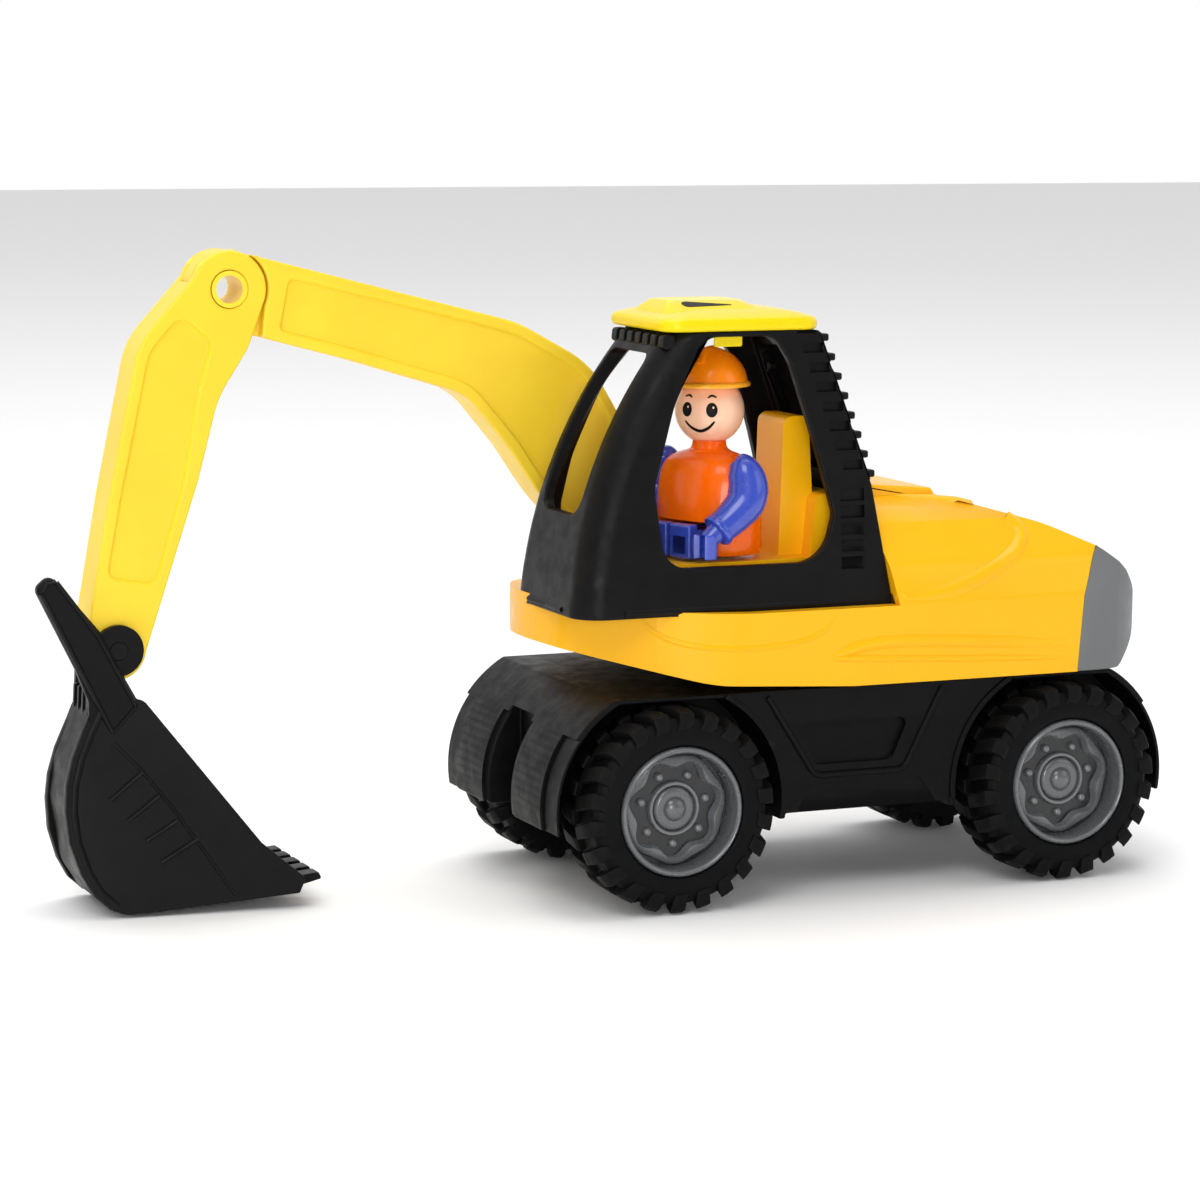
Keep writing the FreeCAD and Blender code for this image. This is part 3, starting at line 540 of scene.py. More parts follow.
def arch_ring(name, x, outer, inner, low, high, first=-90, last=270):
    """Part of a ring round an axle, from low to high across the toy."""
    turns = [math.radians(first + (last - first) * s / 60) for s in range(61)]
    rings = []
    for turn in turns:
        rings.append([(x + r * math.cos(turn), y, WHEEL_R + r * math.sin(turn))
                      for r, y in ((inner, low), (outer, low), (outer, high), (inner, high))])
    return skin(name, rings)


cutters = []
STEP_TURNS = {"front": (-40, 36), "rear": (144, 220)}
for end, (first, last) in STEP_TURNS.items():
    for sign in SIDES.values():
        for inner, outer in ((33.5, 44.5), (7.5, 12.5)):
            low, high = sorted((sign * inner, sign * outer))
            cutters.append(arch_ring("step", AXLE_X[end], ARCH_R + 2, ARCH_R - 1.0, low, high,
                                     first, last))
TRAY = [(23.5, 52.0, 2), (17.8, 39.4, 2.5), (-7.4, 39.4, 2.5), (-13.0, 52.0, 2)]
for sign in SIDES.values():
    low, high = sorted((sign * (PANEL_Y - 1.5), sign * (PANEL_Y + 2)))
    cutters.append(prism("tray", TRAY, low, high))
    cutters.append(prism("foot", [(-24, 24, 0), (24, 24, 0), (20, 33.8, 3), (-17, 33.8, 3)],
                         *sorted((sign * (PANEL_Y - 0.7), sign * (PANEL_Y + 2)))))
chassis = moulded("undercarriage", "chassis", 0.5, 30, 2, cutters)
show(chassis, "chassis", frame_black, "black_plastic", "chassis")


# %% Ridges and arch lips on the side panels
def ribbon(name, path, half_width, rise, view_point):
    """A low rounded rib along a path; view_point(u, v, out) gives the place on the wall."""
    rings = []
    count = len(path)
    for i, (u, v) in enumerate(path):
        ahead = Vector(path[min(i + 1, count - 1)]) - Vector(path[max(i - 1, 0)])
        across = Vector((-ahead.y, ahead.x)).normalized() * half_width
        rings.append([view_point(u + across.x * k, v + across.y * k, out)
                      for k, out in ((1, -0.3), (0.7, rise * 0.7), (0.25, rise), (-0.25, rise),
                                     (-0.7, rise * 0.7), (-1, -0.3))])
    return skin(name, rings)


def bent_path(corners, steps=5):
    """An open path through corners, each rounded."""
    ends = [(*corners[0][:2], 0), *corners[1:-1], (*corners[-1][:2], 0)]
    return [tuple(p) for p in rounded(ends, steps)]


PANEL_RIDGE = [(33.5, 60.5, 0), (17.8, 36.3, 4), (-11.5, 36.3, 4), (-24.0, 60.5, 0)]
LIP_TURNS = {"front": (118, 186), "rear": (-6, 62)}
ridges = []
for sign in SIDES.values():
    def on_panel(u, v, out, sign=sign):
        return (u, sign * (PANEL_Y + out), v)
    ridges.append(ribbon("ridge", bent_path(PANEL_RIDGE), 1.1, 0.9, on_panel))
    low, high = sorted((sign * (PANEL_Y - 1.2), sign * (PANEL_Y + 0.7)))
    for end, (first, last) in LIP_TURNS.items():
        ridges.append(arch_ring("lip", AXLE_X[end], ARCH_R - 0.4, ARCH_R - 2.1, low, high,
                                first, last))
panel_ridges = soften(together("panel_ridges", ridges), 0.25, 40, 2)
show(panel_ridges, "chassis", frame_black, "black_plastic")

# %% [markdown]
# ## Body
# The yellow body is one shell: a low deck under the cab, an upright seat inside it, and a hood
# crowned like a loaf that falls to the tail. The solid has that form; its edges are softened.

# %% Body shell and tail cap
shell = moulded("body", "body_shell", 0.7, 50, 3, clamp=True)
show(shell, "upper_body", body_yellow, "yellow_body", "body_shell")
POCKET = [(20, 74.5, 2.5), (34.5, 74.5, 2), (36.0, 86.0, 4), (20, 90.0, 3)]
hollows = [prism("pocket", [(sign * y, z, r) for y, z, r in POCKET][::sign], -110, -92.0,
                 front_view) for sign in SIDES.values()]
hollows.append(block("slot", (-110, -94.6), (-15, 15), (77.5, 80.0)))
hollows.append(block("slot", (-110, -94.2), (-15, 15), (84.0, 86.5)))
tail = moulded("tail", "tail_cap", 0.6, tools=hollows)
show(tail, "upper_body", cap_grey, "grey_plastic", "tail_cap")

# %% [markdown]
# ## Creases on the body
# The hood wears a teardrop crease that leaves the cab's rear corner, sweeps along the side and
# curls back over the top. A long rounded rib runs low on the side, and a faint bowed line marks
# the step under the door. Each bead is drawn as a few points near the body, smoothed, and laid
# on the nearest point of the shell.


# %% Beads laid on the shell
BEAD_SECTION = [(1, 0), (0.6, 0.55), (0.2, 1), (-0.2, 1), (-0.6, 0.55), (-1, 0)]


def smooth_path(points, steps=10):
    """A Catmull-Rom curve through points."""
    points = [Vector(p) for p in points]
    padded = [points[0], *points, points[-1]]
    path = []
    for i in range(len(points) - 1):
        a, b, c, d = padded[i:i + 4]
        for s in range(steps):
            t = s / steps
            path.append(0.5 * (2 * b + (c - a) * t + (2 * a - 5 * b + 4 * c - d) * t * t
                               + (3 * b - a - 3 * c + d) * t ** 3))
    path.append(points[-1])
    return path


def bead(name, wall, points, half_width, rise, sign=1):
    """A raised line on a curved wall that fades out at both ends."""
    path = smooth_path(points)
    laid = []
    for p in path:
        _, place, normal, _ = wall.closest_point_on_mesh(Vector((p.x, p.y * sign, p.z)) * MM)
        laid.append((place / MM, normal))
    rings = []
    last = len(laid) - 1
    for i, (place, normal) in enumerate(laid):
        along = laid[min(i + 1, last)][0] - laid[max(i - 1, 0)][0]
        across = normal.cross(along).normalized()
        fade = min(1.0, 5.0 * min(i, last - i) / last + 0.05)
        width, high = half_width * (0.35 + 0.65 * fade), rise * fade
        rings.append([place + across * width * k + normal * (high * up - 0.05 * (abs(k) == 1))
                      for k, up in BEAD_SECTION])
    return skin(name, rings)


CREASE = [(-6, 46.5, 88.5), (-16, 47.5, 88.5), (-26, 47, 90.0), (-36, 46, 93.5), (-45, 44.5, 98),
          (-50.5, 42, 102.5), (-51.5, 38.5, 106), (-47, 34, 108.5), (-38, 29.5, 111.5),
          (-27, 26, 114.5), (-15, 23.5, 117)]
SIDE_RIB_TOP = [(15.5, 48.5, 72.0), (9, 48.5, 74.0), (2, 48.5, 75.2), (-10, 48.5, 75.4),
                (-40, 48.5, 73.6), (-64, 48.5, 71.6)]
SIDE_RIB_LOW = [(15.5, 48.5, 71.6), (5, 48.5, 71.0), (-20, 48.5, 69.6), (-66, 48.5, 67.4)]
DOOR_STEP = [(74, 40, 86.5), (71.5, 42, 82), (64, 45, 78.4), (52, 48, 76.4), (38, 48.5, 76.0),
             (26, 48.5, 77.0), (18, 48.5, 80.0), (13.5, 48.5, 85.0)]
beads = []
for sign in SIDES.values():
    beads.append(bead("crease", shell, CREASE, 2.3, 1.0, sign))
    beads.append(bead("rib", shell, SIDE_RIB_TOP, 2.0, 1.1, sign))
    beads.append(bead("rib", shell, SIDE_RIB_LOW, 1.1, 0.6, sign))
    beads.append(bead("step", shell, DOOR_STEP, 1.0, 0.4, sign))
creases = soften(together("body_creases", beads), 0, sharp=70)
show(creases, "upper_body", body_yellow, "yellow_body")

# %% [markdown]
# ## Hood strip
# Behind the cab the hood carries a shallow raised panel that ends in a small step. It is a thin
# slab laid on the falling hood, with generous edges.

# %% Raised strip on the hood
STRIP = [(-3, 113, 0), (-3, 119.6, 0.5), (-29.5, 117.3, 1.2), (-31.5, 114.2, 0.5),
         (-31.5, 110, 0)]
strip = prism("hood_strip", STRIP, -24, 24)
soften(strip, 0.9, 30, 3)
show(strip, "upper_body", body_yellow, "yellow_body")

# %% [markdown]
# ## Cab
# The cab is a black cage with thick rounded pillars. Both rear pillars are ladders: gaps between
# eight slats above the shoulder, and five square pockets below it. They are cut only into the
# outer face, as in a wall that is moulded in one shot. A thin lip runs round the foot of the
# cab, and the header under the roof has a row of small bumps.

# %% Cab frame with its pockets and slats
POCKET_LOW, POCKET_PITCH = 96.8, 4.95
SLAT_LOW, SLAT_PITCH = 123.2, 5.7
PILLAR_LEAN = 0.352    # how far the rear pillar runs forward for each millimetre up
pockets = []
for i in range(5):
    z = POCKET_LOW + POCKET_PITCH * i
    for low, high in ((40.6, 47.0), (-12.0, -6.2)):
        pockets.append(block("pocket", (2.2, 10.0), (low, high), (z, z + 3.7)))
for i in range(8):
    z = SLAT_LOW + SLAT_PITCH * i
    lean = -0.5 + PILLAR_LEAN * (z + 4 - 121.0)
    inward = (z + 4 - 90) / 80
    left, right = 44.0 - 6.5 * inward, -9.0 + 4.0 * inward
    for low, high in ((left - 1.4, left + 3), (right - 3, right + 1.4)):
        pockets.append(block("gap", (lean + 0.8, lean + 7.2), (low, high), (z + 2.5, z + 5.4)))
cab = moulded("cab", "cab_frame", 0.6, tools=pockets)
show(cab, "upper_body", cab_black, "black_plastic", "cab_frame")

# %% Bumps on the cab's header, and the lip round its foot
BUMP = [(60.6, 161.8, 1), (64.6, 161.6, 1), (64.2, 165.6, 1), (60.6, 165.8, 1)]
bumps = []
for i in range(7):
    y = -1.5 + 5.6 * i
    bumps.append(prism("bump", BUMP, y, y + 3.6, steps=4))
header = soften(together("header_bumps", bumps), 0.3, 30, 2)
show(header, "upper_body", cab_black, "black_plastic")
FOOT_LEFT = [(-5.5, 44, 87.2), (20, 44, 87.2), (45, 44, 87.2), (68, 44, 87.2), (80, 42.5, 87.2),
             (88, 37, 87.2), (92, 28, 87.2), (92.8, 17.5, 87.2)]
FOOT_RIGHT = [(92.8, 17.5, 87.2), (92, 7, 87.2), (88, -3, 87.2), (80, -8, 87.2), (68, -9, 87.2),
              (30, -9, 87.2), (-5.5, -9, 87.2)]
foot = together("cab_foot_lip", [bead("lip", cab, path, 1.0, 0.7)
                                 for path in (FOOT_LEFT, FOOT_RIGHT)])
show(soften(foot, 0, sharp=70), "upper_body", cab_black, "black_plastic")

# %% [markdown]
# ## Roof
# The roof panel is a pillow with a thin edge, a raised crest in the middle, and a black drop-
# shaped inlay in the crest. It is a stack of rounded rectangles, each a little smaller and
# higher, and smooth shading turns the steps into one soft dome. The inlay is laid on the crest.


# %% Roof dome, crest and inlay
CREST_TOP = 173.6      # a height from which the inlay's outline is laid on the crest


def rounded_plan(x0, x1, y0, y1, radius, z, steps=6):
    ring = rounded([(x0, y0, radius), (x1, y0, radius), (x1, y1, radius), (x0, y1, radius)], steps)
    return [(p.x, p.y, z) for p in ring]


roof_low, roof_high = (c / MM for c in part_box("roof"))
levels = [(0.4, 166.55), (0.05, 167.4), (0.05, 169.2), (0.8, 170.2), (3.6, 171.2), (9.0, 172.3),
          (13.0, 172.8)]
rings = [rounded_plan(roof_low.x + inset, roof_high.x - inset, roof_low.y + inset,
                      roof_high.y - inset, 5.5, z) for inset, z in levels]
dome = skin("roof_panel", rings)
crest = skin("crest", [rounded_plan(28.0 + inset, 60.5 - inset, 2.5 + 0.5 * inset,
                                    31 - 2.0 * inset, 4.5, z)
                       for inset, z in ((0.0, 170.6), (1.0, 172.2), (3.6, 174.0), (4.6, 174.6))])
CATCH = [(38, 161.8, 0.6), (47, 161.8, 0.6), (47, 167.2, 0), (38, 167.2, 0)]
catch = prism("catch", CATCH, 32.2, 33.2)
roof_top = together("roof_top", [dome, crest, catch])
soften(roof_top, 0.5, 24, 3)
show(roof_top, "upper_body", roof_yellow, "yellow_roof", "roof")
DROP = [(53.5, 27.0, 1.8), (53.5, 22.2, 1.8), (37, 25.8, 0.2)]
laid = []
for p in rounded(DROP, 8):
    _, place, normal, _ = roof_top.closest_point_on_mesh(Vector((p.x, p.y, CREST_TOP)) * MM)
    laid.append((place / MM, normal))
drop = skin("crest_inlay", [[place - normal * 0.4 for place, normal in laid],
                            [place + normal * 0.12 for place, normal in laid]])
show(soften(drop, 0, sharp=50), "upper_body", cab_black, "black_plastic")

# %% [markdown]
# ## Digging arm
# Boom and stick are yellow mouldings whose flanks are sunk between raised rims, to save plastic
# and cool quickly. They meet at a round boss with a bore that goes right through. The solids
# have the sunk flanks, so the copies are only softened with a wider edge.

# %% Boom, stick and the hollow bush
boom = moulded("boom_arm", "boom", 0.8, 26)
show(boom, "boom", arm_yellow, "yellow_arm", "boom")
stick = moulded("dipper", "stick", 0.8, 26)
show(stick, "stick", arm_yellow, "yellow_arm", "stick")
ELBOW = (178.0, 178.0)
ARM_Y = -20.0
bush = spun("hollow_bush", [(4.0, ARM_Y - 7.4), (4.5, ARM_Y - 7.5), (5.3, ARM_Y - 7.4),
                            (5.3, ARM_Y + 7.4), (4.5, ARM_Y + 7.5), (4.0, ARM_Y + 7.4)], *ELBOW)
soften(bush, 0, sharp=60)
show(bush, "boom", arm_yellow, "yellow_arm", "elbow_bush")

# %% [markdown]
# ## Bucket
# The bucket is a scoop with slanting sides and a lever with raised rims. On each side a fold
# line runs down to the cutting edge and four slanting ribs stiffen the wall, and two rims with a
# groove between them run down the back. The details take their depth from the solid's flare.

# %% Bucket body with rims and ribs
bucket = moulded("scoop", "bucket", 0.45, 28, 2)
show(bucket, "bucket", bucket_black, "black_plastic", "bucket")


def flare(x, z):
    """Half the bucket's width at a place on its side."""
    return 43.3 - 0.120 * x - 0.117 * z


def on_side(sign):
    """Places on a slanting side, a little out from it."""
    return lambda u, v, out: (u, ARM_Y + sign * (flare(u, v) + out), v)


SIDE_RIBS = [((216.6, 33.7), (206.9, 41.4)), ((211.7, 27.7), (202.4, 34.5)),
             ((206.8, 21.7), (197.8, 27.0)), ((202.9, 15.3), (192.0, 21.6))]
FOLD = [(214.7, 49.8, 0), (206.9, 41.4, 8), (198.4, 30.2, 8), (190.0, 17.5, 8), (182.0, 5.2, 0)]
BACK = [(218.5, 60.0), (222.0, 53.5), (225.4, 45.5), (227.4, 38.0), (228.0, 31.0), (227.2, 22.0),
        (224.4, 13.2), (221.0, 7.2), (216.6, 3.2)]
details = []
for sign in SIDES.values():
    place = on_side(sign)
    for start, end in SIDE_RIBS:
        path = [tuple(Vector(start).lerp(Vector(end), s / 4)) for s in range(5)]
        details.append(ribbon("side_rib", path, 0.75, 0.9, place))
    details.append(ribbon("fold", bent_path(FOLD), 0.6, 0.5, place))
    details.append(ribbon("edge_rim", BACK, 1.5, 0.9,
                          lambda u, v, out, p=place: p(u - 0.9, v, out)))
    rings = []
    last = len(BACK) - 1
    for i, (u, v) in enumerate(BACK):
        ahead = (Vector(BACK[min(i + 1, last)]) - Vector(BACK[max(i - 1, 0)])).normalized()
        out = Vector((-ahead.y, ahead.x))
        out = out if out.x > 0 else -out
        width = flare(u, v)
        rings.append([(u + out.x * push, ARM_Y + sign * (width - inward), v + out.y * push)
                      for push, inward in ((-0.8, 0.2), (0.9, 0.2), (1.2, 0.8), (1.2, 2.8),
                                           (0.9, 3.4), (-0.8, 3.4))])
    details.append(skin("back_rim", rings))
scoop_ribs = soften(together("scoop_ribs", details), 0, sharp=55)
show(scoop_ribs, "bucket", bucket_black, "black_plastic")

# %% Lever with its rims, and the web ribs at its foot
LEVER_Y = ARM_Y + 7.5 + 0.35 + 2.6


def on_lever(u, v, out):
    return (u, LEVER_Y + out, v)


FRONT_RIM = [(230.6, 96.6, 0), (218.6, 80.4, 8), (207.9, 60.0, 0)]
REAR_RIM = [(235.0, 93.6, 0), (223.6, 70.6, 8), (214.9, 52.8, 0)]
BAR = [(232.2, 98.9, 2.5), (236.1, 94.9, 2.5), (224.7, 70.9, 6), (214.8, 50.8, 1),
       (206.6, 59.4, 1), (218.0, 81.8, 8)]
lever_parts = [soften(prism("bar", BAR, LEVER_Y - 1.0, LEVER_Y + 0.7), 0.4, 30, 2),
               ribbon("rim", bent_path(FRONT_RIM), 0.9, 1.5, on_lever),
               ribbon("rim", bent_path(REAR_RIM), 0.9, 1.5, on_lever),
               ribbon("rim", [(207.9, 60.2), (211.4, 56.5), (214.9, 52.8)], 0.8, 1.5, on_lever),
               ribbon("rim", [(230.8, 96.8), (233.4, 96.4), (234.8, 94.0)], 0.8, 1.4, on_lever)]
WEB_RIB = [(219.2, 65.5, 0), (221.2, 64.5, 0.4), (222.0, 48.5, 0.4), (220.0, 48.0, 0)]
for k in range(4):
    y = -27.5 + 4.6 * k
    lever_parts.append(prism("web_rib", WEB_RIB, y, y + 1.3))
lever = soften(together("lever_rims", lever_parts), 0, sharp=50)
show(lever, "bucket", bucket_black, "black_plastic")

# %% [markdown]
# ## Driver: torso and legs
# The driver is a chunky little figure. The orange torso is bell-shaped with soft folds pressed
# into it, and the blue legs stick straight out from the hips. The torso is a skin over oval
# rings whose radius ripples a little, which is enough to suggest a stuffed vest, and a notch at
# the front of its foot leaves room for the legs.
# The figure is drawn looking along +X with the seat at zero, then turned and set on the seat.

# %% Seating the figure, and its torso
SEAT = Vector((42.0, 19.5, 99.9))
seated = Matrix.Translation(SEAT * MM) @ Matrix.Rotation(math.radians(20), 4, "Z")
headed = Matrix.Translation(SEAT * MM) @ Matrix.Rotation(math.radians(47), 4, "Z")


def oval(half_x, half_y, z, squareness=2.3, folds=0.0, count=40):
    """A rounded-square ring of points; folds ripples its radius."""
    ring = []
    for i in range(count):
        t = 2 * math.pi * i / count
        c, s = math.cos(t), math.sin(t)
        grow = 1 + folds * math.cos(9 * t + 0.35 * z) * (0.5 + 0.5 * math.cos(t))
        ring.append((half_x * grow * math.copysign(abs(c) ** (2 / squareness), c),
                     half_y * grow * math.copysign(abs(s) ** (2 / squareness), s), z))
    return ring


def round_off(piece, levels=1):
    """Subdivide a coarse cage into a soft form."""
    sub = piece.modifiers.new("round", "SUBSURF")
    sub.levels = sub.render_levels = levels
    settle(piece)
    return piece


torso_levels = [(11.8, 16.9, 0.3, 0.0), (12.3, 17.3, 2.0, 0.0), (12.2, 17.2, 7.0, 0.006),
                (12.0, 17.0, 12.5, 0.01), (11.8, 16.6, 17.5, 0.012), (11.3, 16.2, 22.0, 0.012),
                (10.4, 15.4, 26.0, 0.008), (8.8, 13.4, 28.8, 0.0), (6.2, 8.6, 30.4, 0.0),
                (4.7, 4.9, 31.0, 0.0), (4.6, 4.8, 33.5, 0.0), (4.2, 4.4, 36.0, 0.0)]
torso = skin("torso", [oval(hx, hy, z, 2.4, f) for hx, hy, z, f in torso_levels])
round_off(torso)
COLLAR = [(5.0, 29.6), (6.0, 29.9), (6.2, 30.7), (5.5, 31.4), (4.9, 31.5)]
collar = skin("collar", [oval(r, r * 1.04, z, 2.0) for r, z in COLLAR])
round_off(collar)
carve(torso, [block("notch", (-6, 20), (-10.1, 10.1), (-1, 11.0))])
vest = together("vest", [torso, collar])
vest.data.transform(seated)
soften(vest, 0, sharp=50)
show(vest, "driver", driver_orange, "orange_plastic", "driver_torso")

# %% Legs with shoes
LEG_LEVELS = [(-4.6, 2.4, 2.4), (-4.0, 3.6, 3.6), (0, 4.2, 4.1), (12, 4.2, 4.0),
              (14.6, 4.2, 4.1), (16.2, 3.8, 3.8), (16.8, 2.6, 2.6)]
LEG_RING = [(-1, -0.9), (-0.9, -1), (0.9, -1), (1, -0.9), (1, 0.9), (0.9, 1), (-0.9, 1),
            (-1, 0.9)]
SHOE_BACK, SHOE_TOE = 13.2, 16.8
legs = []
for y0 in (-9.1, 0.7):
    y1 = y0 + 8.4
    legs.append(skin("leg", [[(x, y0 + 4.2 + y * w, 4.6 + z * h) for y, z in LEG_RING]
                             for x, w, h in LEG_LEVELS]))
    sole = [(SHOE_BACK, y0), (SHOE_TOE, y0), (SHOE_TOE, y1), (SHOE_BACK, y1)]
    legs.append(skin("shoe", [[(x, y, z) for x, y in sole] for z in (0.6, 9.4, 10.6)]))
trousers = together("trousers", legs)
trousers.data.transform(seated)
soften(trousers, 0.7, 30, 3)
show(trousers, "driver_legs", driver_blue, "blue_plastic", "driver_legs")

# %% [markdown]
# ## Driver: arms and hands
# Each arm is a bent sleeve, thick at the shoulder, with a cuff and a hand shaped like a C. The
# sleeve is a tube whose radius changes along a curved path, and the hand is part of a ring, open
# towards the front.


# %% Sleeves, cuffs and gripping hands
def tube(name, stations, count=20):
    """A round tube through (x, y, z, radius) stations, its ends rounded."""
    path = smooth_path([Vector(s[:3]) for s in stations], 6)
    radii = [p.x for p in smooth_path([Vector((s[3], 0, 0)) for s in stations], 6)]
    rings = []
    last = len(path) - 1
    side = Vector((0, 0, 1))
    for i, p in enumerate(path):
        ahead = (path[min(i + 1, last)] - path[max(i - 1, 0)]).normalized()
        side = (side - ahead * side.dot(ahead)).normalized()
        other = ahead.cross(side)
        rings.append([p + (side * math.cos(t) + other * math.sin(t)) * radii[i]
                      for t in (2 * math.pi * k / count for k in range(count))])
    return skin(name, rings)


SLEEVE = [(3.0, 14.4, 30.0, 0.8), (2.6, 14.9, 29.2, 3.0), (1.8, 16.2, 26.2, 5.0),
          (1.2, 17.4, 21.6, 5.9), (2.6, 17.9, 17.2, 5.8), (6.4, 17.2, 13.4, 5.2),
          (9.6, 16.4, 10.9, 4.8), (11.2, 15.9, 9.7, 4.7), (11.6, 15.8, 9.4, 4.0)]
CUFF = [(10.6, 16.1, 10.2, 4.2), (11.0, 16.0, 9.9, 5.0), (12.0, 15.7, 9.0, 5.0),
        (12.4, 15.6, 8.7, 3.8)]
WRIST = [(11.8, 15.7, 9.2, 3.1), (14.8, 14.7, 6.4, 2.8)]


def arm_piece(name, side):
    """One arm; a side of 1 is the left one."""
    parts = [tube("sleeve", [(x, side * y, z, r) for x, y, z, r in stations])
             for stations in (SLEEVE, CUFF, WRIST)]
    rings = []
    for s in range(15):
        t = math.radians(40 + 280 * s / 14)
        rings.append([(15.2 + r * math.cos(t), side * 14.3 + r * math.sin(t), z)
                      for r, z in ((1.5, 1.4), (3.5, 1.2), (3.6, 8.4), (1.5, 8.2))])
    hand = skin("hand", rings)
    soften(hand, 0.35, 40, 2)
    arm = together(name, [*parts, hand])
    arm.data.transform(seated)
    return soften(arm, 0, sharp=50)


for side, sign in SIDES.items():
    show(arm_piece(f"sleeve_{side}", sign), f"driver_arm_{side}", driver_blue, "blue_plastic",
         f"driver_arm_{side}")

# %% [markdown]
# ## Driver: head, face and hard hat
# The head is a ball. The face is printed on: two dot eyes, two short brows and a smile, as on
# any play figure. A small skin-coloured spot in each eye is a painted highlight. Each mark is a
# thin patch laid on the ball, found from its direction. The hard hat is a dome with a ridge over
# the crown and a brim longer in front.

# %% Head
HEAD = Vector((0.0, 0.0, 42.6))
HEAD_R = 10.2


def on_head(azimuth, height, out=0.12):
    """A place on the ball of the head, by its direction from the middle, in degrees."""
    a, h = math.radians(azimuth), math.radians(height)
    direction = Vector((math.cos(a) * math.cos(h), math.sin(a) * math.cos(h), math.sin(h)))
    return HEAD + direction * (HEAD_R + out)


NECK_Z = 33.2          # the ball of the head is left open below this
head_rings = []
for s in range(1, 24):
    h = -90 + 180 * s / 24
    if HEAD.z + HEAD_R * math.sin(math.radians(h)) > NECK_Z:
        head_rings.append([on_head(360 * k / 48, h, 0) for k in range(48)])
head = skin("head", head_rings)
head.data.transform(headed)
soften(head, 0, sharp=50)
show(head, "driver_head", driver_skin, "skin_plastic", "driver_head")


# %% Face printed on the head
def dot(name, azimuth, height, wide, tall, out=0.1, count=24):
    """A round mark, its size in degrees."""
    rings = []
    for share, lift in ((1, -0.2), (1, out), (0.75, out), (0.45, out), (0.15, out)):
        rings.append([on_head(azimuth + wide * share * math.cos(t),
                              height + tall * share * math.sin(t), lift)
                      for t in (2 * math.pi * k / count for k in range(count))])
    return skin(name, rings)


def stroke(name, marks, half, out=0.1):
    """A brush line through (azimuth, height) marks, thin at both ends."""
    path = smooth_path([Vector((a, h, 0)) for a, h in marks], 8)
    last = len(path) - 1
    rings = []
    for i, p in enumerate(path):
        ahead = (path[min(i + 1, last)] - path[max(i - 1, 0)]).normalized()
        wide = half * (0.3 + 0.7 * math.sin(math.pi * i / last) ** 0.6)
        a, b = p + Vector((-ahead.y, ahead.x, 0)) * wide, p - Vector((-ahead.y, ahead.x, 0)) * wide
        rings.append([on_head(a.x, a.y, out), on_head(b.x, b.y, out),
                      on_head(b.x, b.y, -0.2), on_head(a.x, a.y, -0.2)])
    return skin(name, rings)


EYE_AZIMUTH = 22
marks = []
for sign in (1, -1):
    marks.append(dot("eye", sign * EYE_AZIMUTH, 4, 9.6, 12.0))
    marks.append(stroke("brow", [(sign * 15, 24), (sign * 22, 28), (sign * 31, 25)], 1.8))
marks.append(stroke("smile", [(-27, -15), (-16, -27), (0, -33), (16, -27), (27, -15)], 3.0))
face = together("face", marks)
face.data.transform(headed)
show(soften(face, 0, sharp=50), "driver_head", paint_black, "black_plastic")
# Painted highlight: a small skin-coloured glint spot in each eye.
painted_glints = together("painted_eye_glints", [dot("glint", sign * EYE_AZIMUTH + 2.4, 8, 1.5, 1.9, 0.16)
                                 for sign in (1, -1)])
painted_glints.data.transform(headed)
show(soften(painted_glints, 0, sharp=50), "driver_head", driver_skin, "skin_plastic")

# %% Hard hat
HAT_R = 11.25
HAT_FOOT = 49.7
hat_rings = []
for s in range(12):
    h = math.radians(7 + 83 * s / 11.3)
    r = HAT_R * math.cos(h)
    hat_rings.append([(r * math.cos(t), r * math.sin(t), HAT_FOOT + HAT_R * math.sin(h))
                      for t in (2 * math.pi * k / 48 for k in range(48))])
hat = skin("hat", hat_rings)
ridge = tube("ridge", [(-8.6, 0, 56.2, 1.2), (-4.5, 0, 59.4, 1.3), (0, 0, 60.0, 1.3),
                       (4.5, 0, 59.4, 1.3), (8.6, 0, 56.2, 1.2)])
hard_hat = together("hard_hat", [hat, ridge])
hard_hat.data.transform(headed)
show(soften(hard_hat, 0, sharp=50), "driver_head", hat_orange, "orange_plastic", "driver_helmet")
brim_rings = []
for inset, z in ((1.6, 49.62), (0.2, 49.75), (0.0, 50.3), (0.3, 50.9), (1.4, 51.3)):
    ring = []
    for k in range(64):
        t = 2 * math.pi * k / 64
        reach = 12.15 + 2.3 * max(0.0, math.cos(t)) ** 2 - inset
        ring.append((reach * math.cos(t), reach * math.sin(t) * 0.99, z))
    brim_rings.append(ring)
brim = skin("hat_brim", brim_rings)
brim.data.transform(headed)
show(soften(brim, 0, sharp=50), "driver_head", brim_orange, "brim_plastic", "driver_helmet_brim")

# %% [markdown]
# ## Small hardware
# Axles, pins, screws, the turntable's post and its washer, the tray and the belly plate have
# their right shape already. They stay as they are and only get a finish.

# %% Finishes for the carried-over solids
STEEL = ["front_axle", "rear_axle", "belly_screws", "tray_screws", "turntable_screw", "boom_pin"]
BLACK = ["belly_plate", "turntable_washer", "body_tray", "bucket_pin"]
YELLOW = ["turntable_post"]
for names, finish in ((STEEL, drawn_steel), (BLACK, frame_black), (YELLOW, body_yellow)):
    for name in names:
        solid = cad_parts[name]
        solid.data.materials.clear()
        solid.data.materials.append(finish)
print("carried over:", len(STEEL) + len(BLACK) + len(YELLOW))

# %% [markdown]
# ## Floor, light and camera
# A toy is usually shown on plain white paper under large soft lights, so that its colours stay
# clean. The key light stands on the viewer's side, a weaker fill near the tail, a wide one hangs
# above, and a small one looks into the cab. The white world is dimmer towards the viewer.

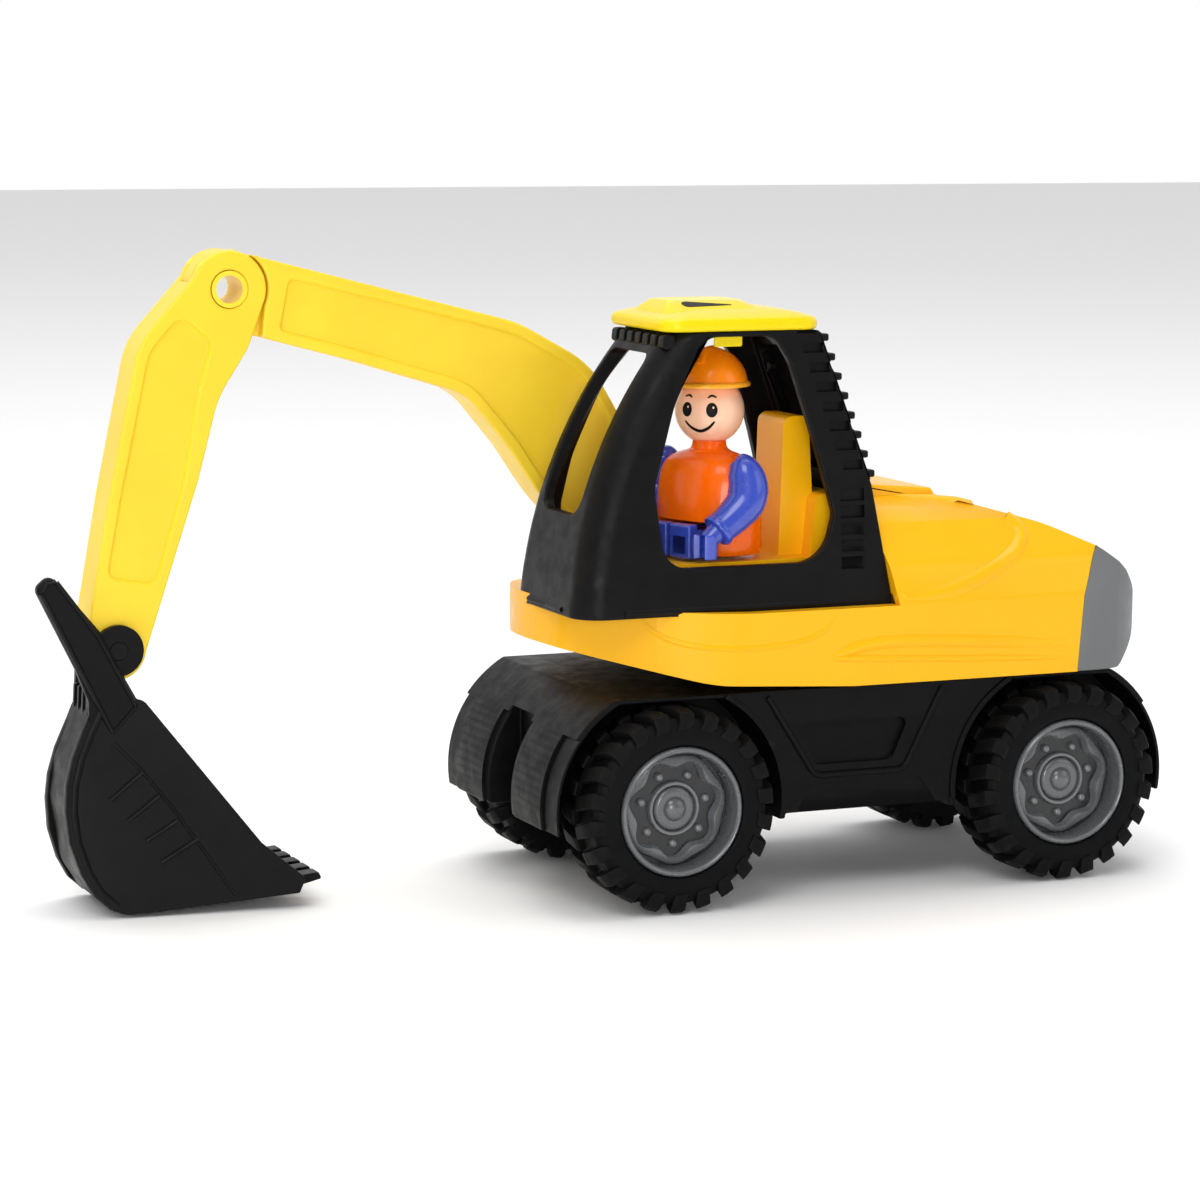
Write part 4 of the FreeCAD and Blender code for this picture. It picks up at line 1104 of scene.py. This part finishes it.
# %% Floor
FLOOR_Z = -0.15        # a hair below the tyres
floor = mesh_piece("floor", [(-4000, -6000, FLOOR_Z), (4000, -6000, FLOOR_Z),
                             (4000, 4000, FLOOR_Z), (-4000, 4000, FLOOR_Z)], [(0, 1, 2, 3)])
paper = plastic("paper", (250, 250, 250), rough=0.8, drift=0.004, grain=0.1, specular=0.1,
                edge=1.0)
floor.data.materials.append(paper)


# %% Lights
def softbox(name, place, target, size, power):
    """A large square light that looks at a target."""
    light = bpy.data.lights.new(name, "AREA")
    light.size = size
    light.energy = power
    lamp = in_scene(name, light)
    lamp.location = place
    lamp.rotation_euler = (Vector(target) - Vector(place)).to_track_quat("-Z", "Y").to_euler()
    return lamp


MIDDLE = (0.05, 0.0, 0.08)
softbox("key", (1.0, 1.3, 1.8), MIDDLE, 1.1, 17)
softbox("fill", (-1.5, 1.5, 1.0), MIDDLE, 1.2, 6)
softbox("top", (0.0, -0.4, 2.4), MIDDLE, 1.8, 22)
softbox("cab_fill", (0.42, 0.95, 0.22), (0.03, 0.0, 0.13), 0.3, 2.8)
world = bpy.data.worlds.new("studio")
world.use_nodes = True
studio = world.node_tree
direction = studio.nodes.new("ShaderNodeTexCoord")
split = studio.nodes.new("ShaderNodeSeparateXYZ")
studio.links.new(direction.outputs["Generated"], split.inputs["Vector"])
dimmed = ramp(studio, split.outputs["Y"], 1.0, 0.24, -0.1, 0.5)
studio.links.new(dimmed, studio.nodes["Background"].inputs["Strength"])
studio.nodes["Background"].inputs["Color"].default_value = (1, 1, 1, 1)
bpy.context.scene.world = world
bpy.context.scene.view_settings.view_transform = "Standard"
print("lights set")

# %% [markdown]
# The camera looks at the toy's left side from slightly in front and a little above, through a
# long lens, so the wheels stay nearly round and the parallel edges hardly meet.

# %% Camera
bearing, drop_angle, roll = math.radians(23.18), math.radians(8.17), math.radians(0.407)
forward = Vector((-math.sin(bearing) * math.cos(drop_angle),
                  -math.cos(bearing) * math.cos(drop_angle), -math.sin(drop_angle)))
level = forward.cross(Vector((0, 0, 1))).normalized()
upward = level.cross(forward)
right = level * math.cos(roll) + upward * math.sin(roll)
up = upward * math.cos(roll) - level * math.sin(roll)
CAMERA_PLACE = Vector((0.4978, 1.0036, 0.2416))
lens = bpy.data.cameras.new("camera")
lens.sensor_width = 36.0
lens.lens = 111.52
lens.clip_start, lens.clip_end = 0.01, 50.0
camera = in_scene("camera", lens)
pose = Matrix((right, up, -forward)).transposed().to_4x4()
camera.matrix_world = Matrix.Translation(CAMERA_PLACE) @ pose
bpy.context.scene.camera = camera
print("camera at", [round(v, 3) for v in camera.location])
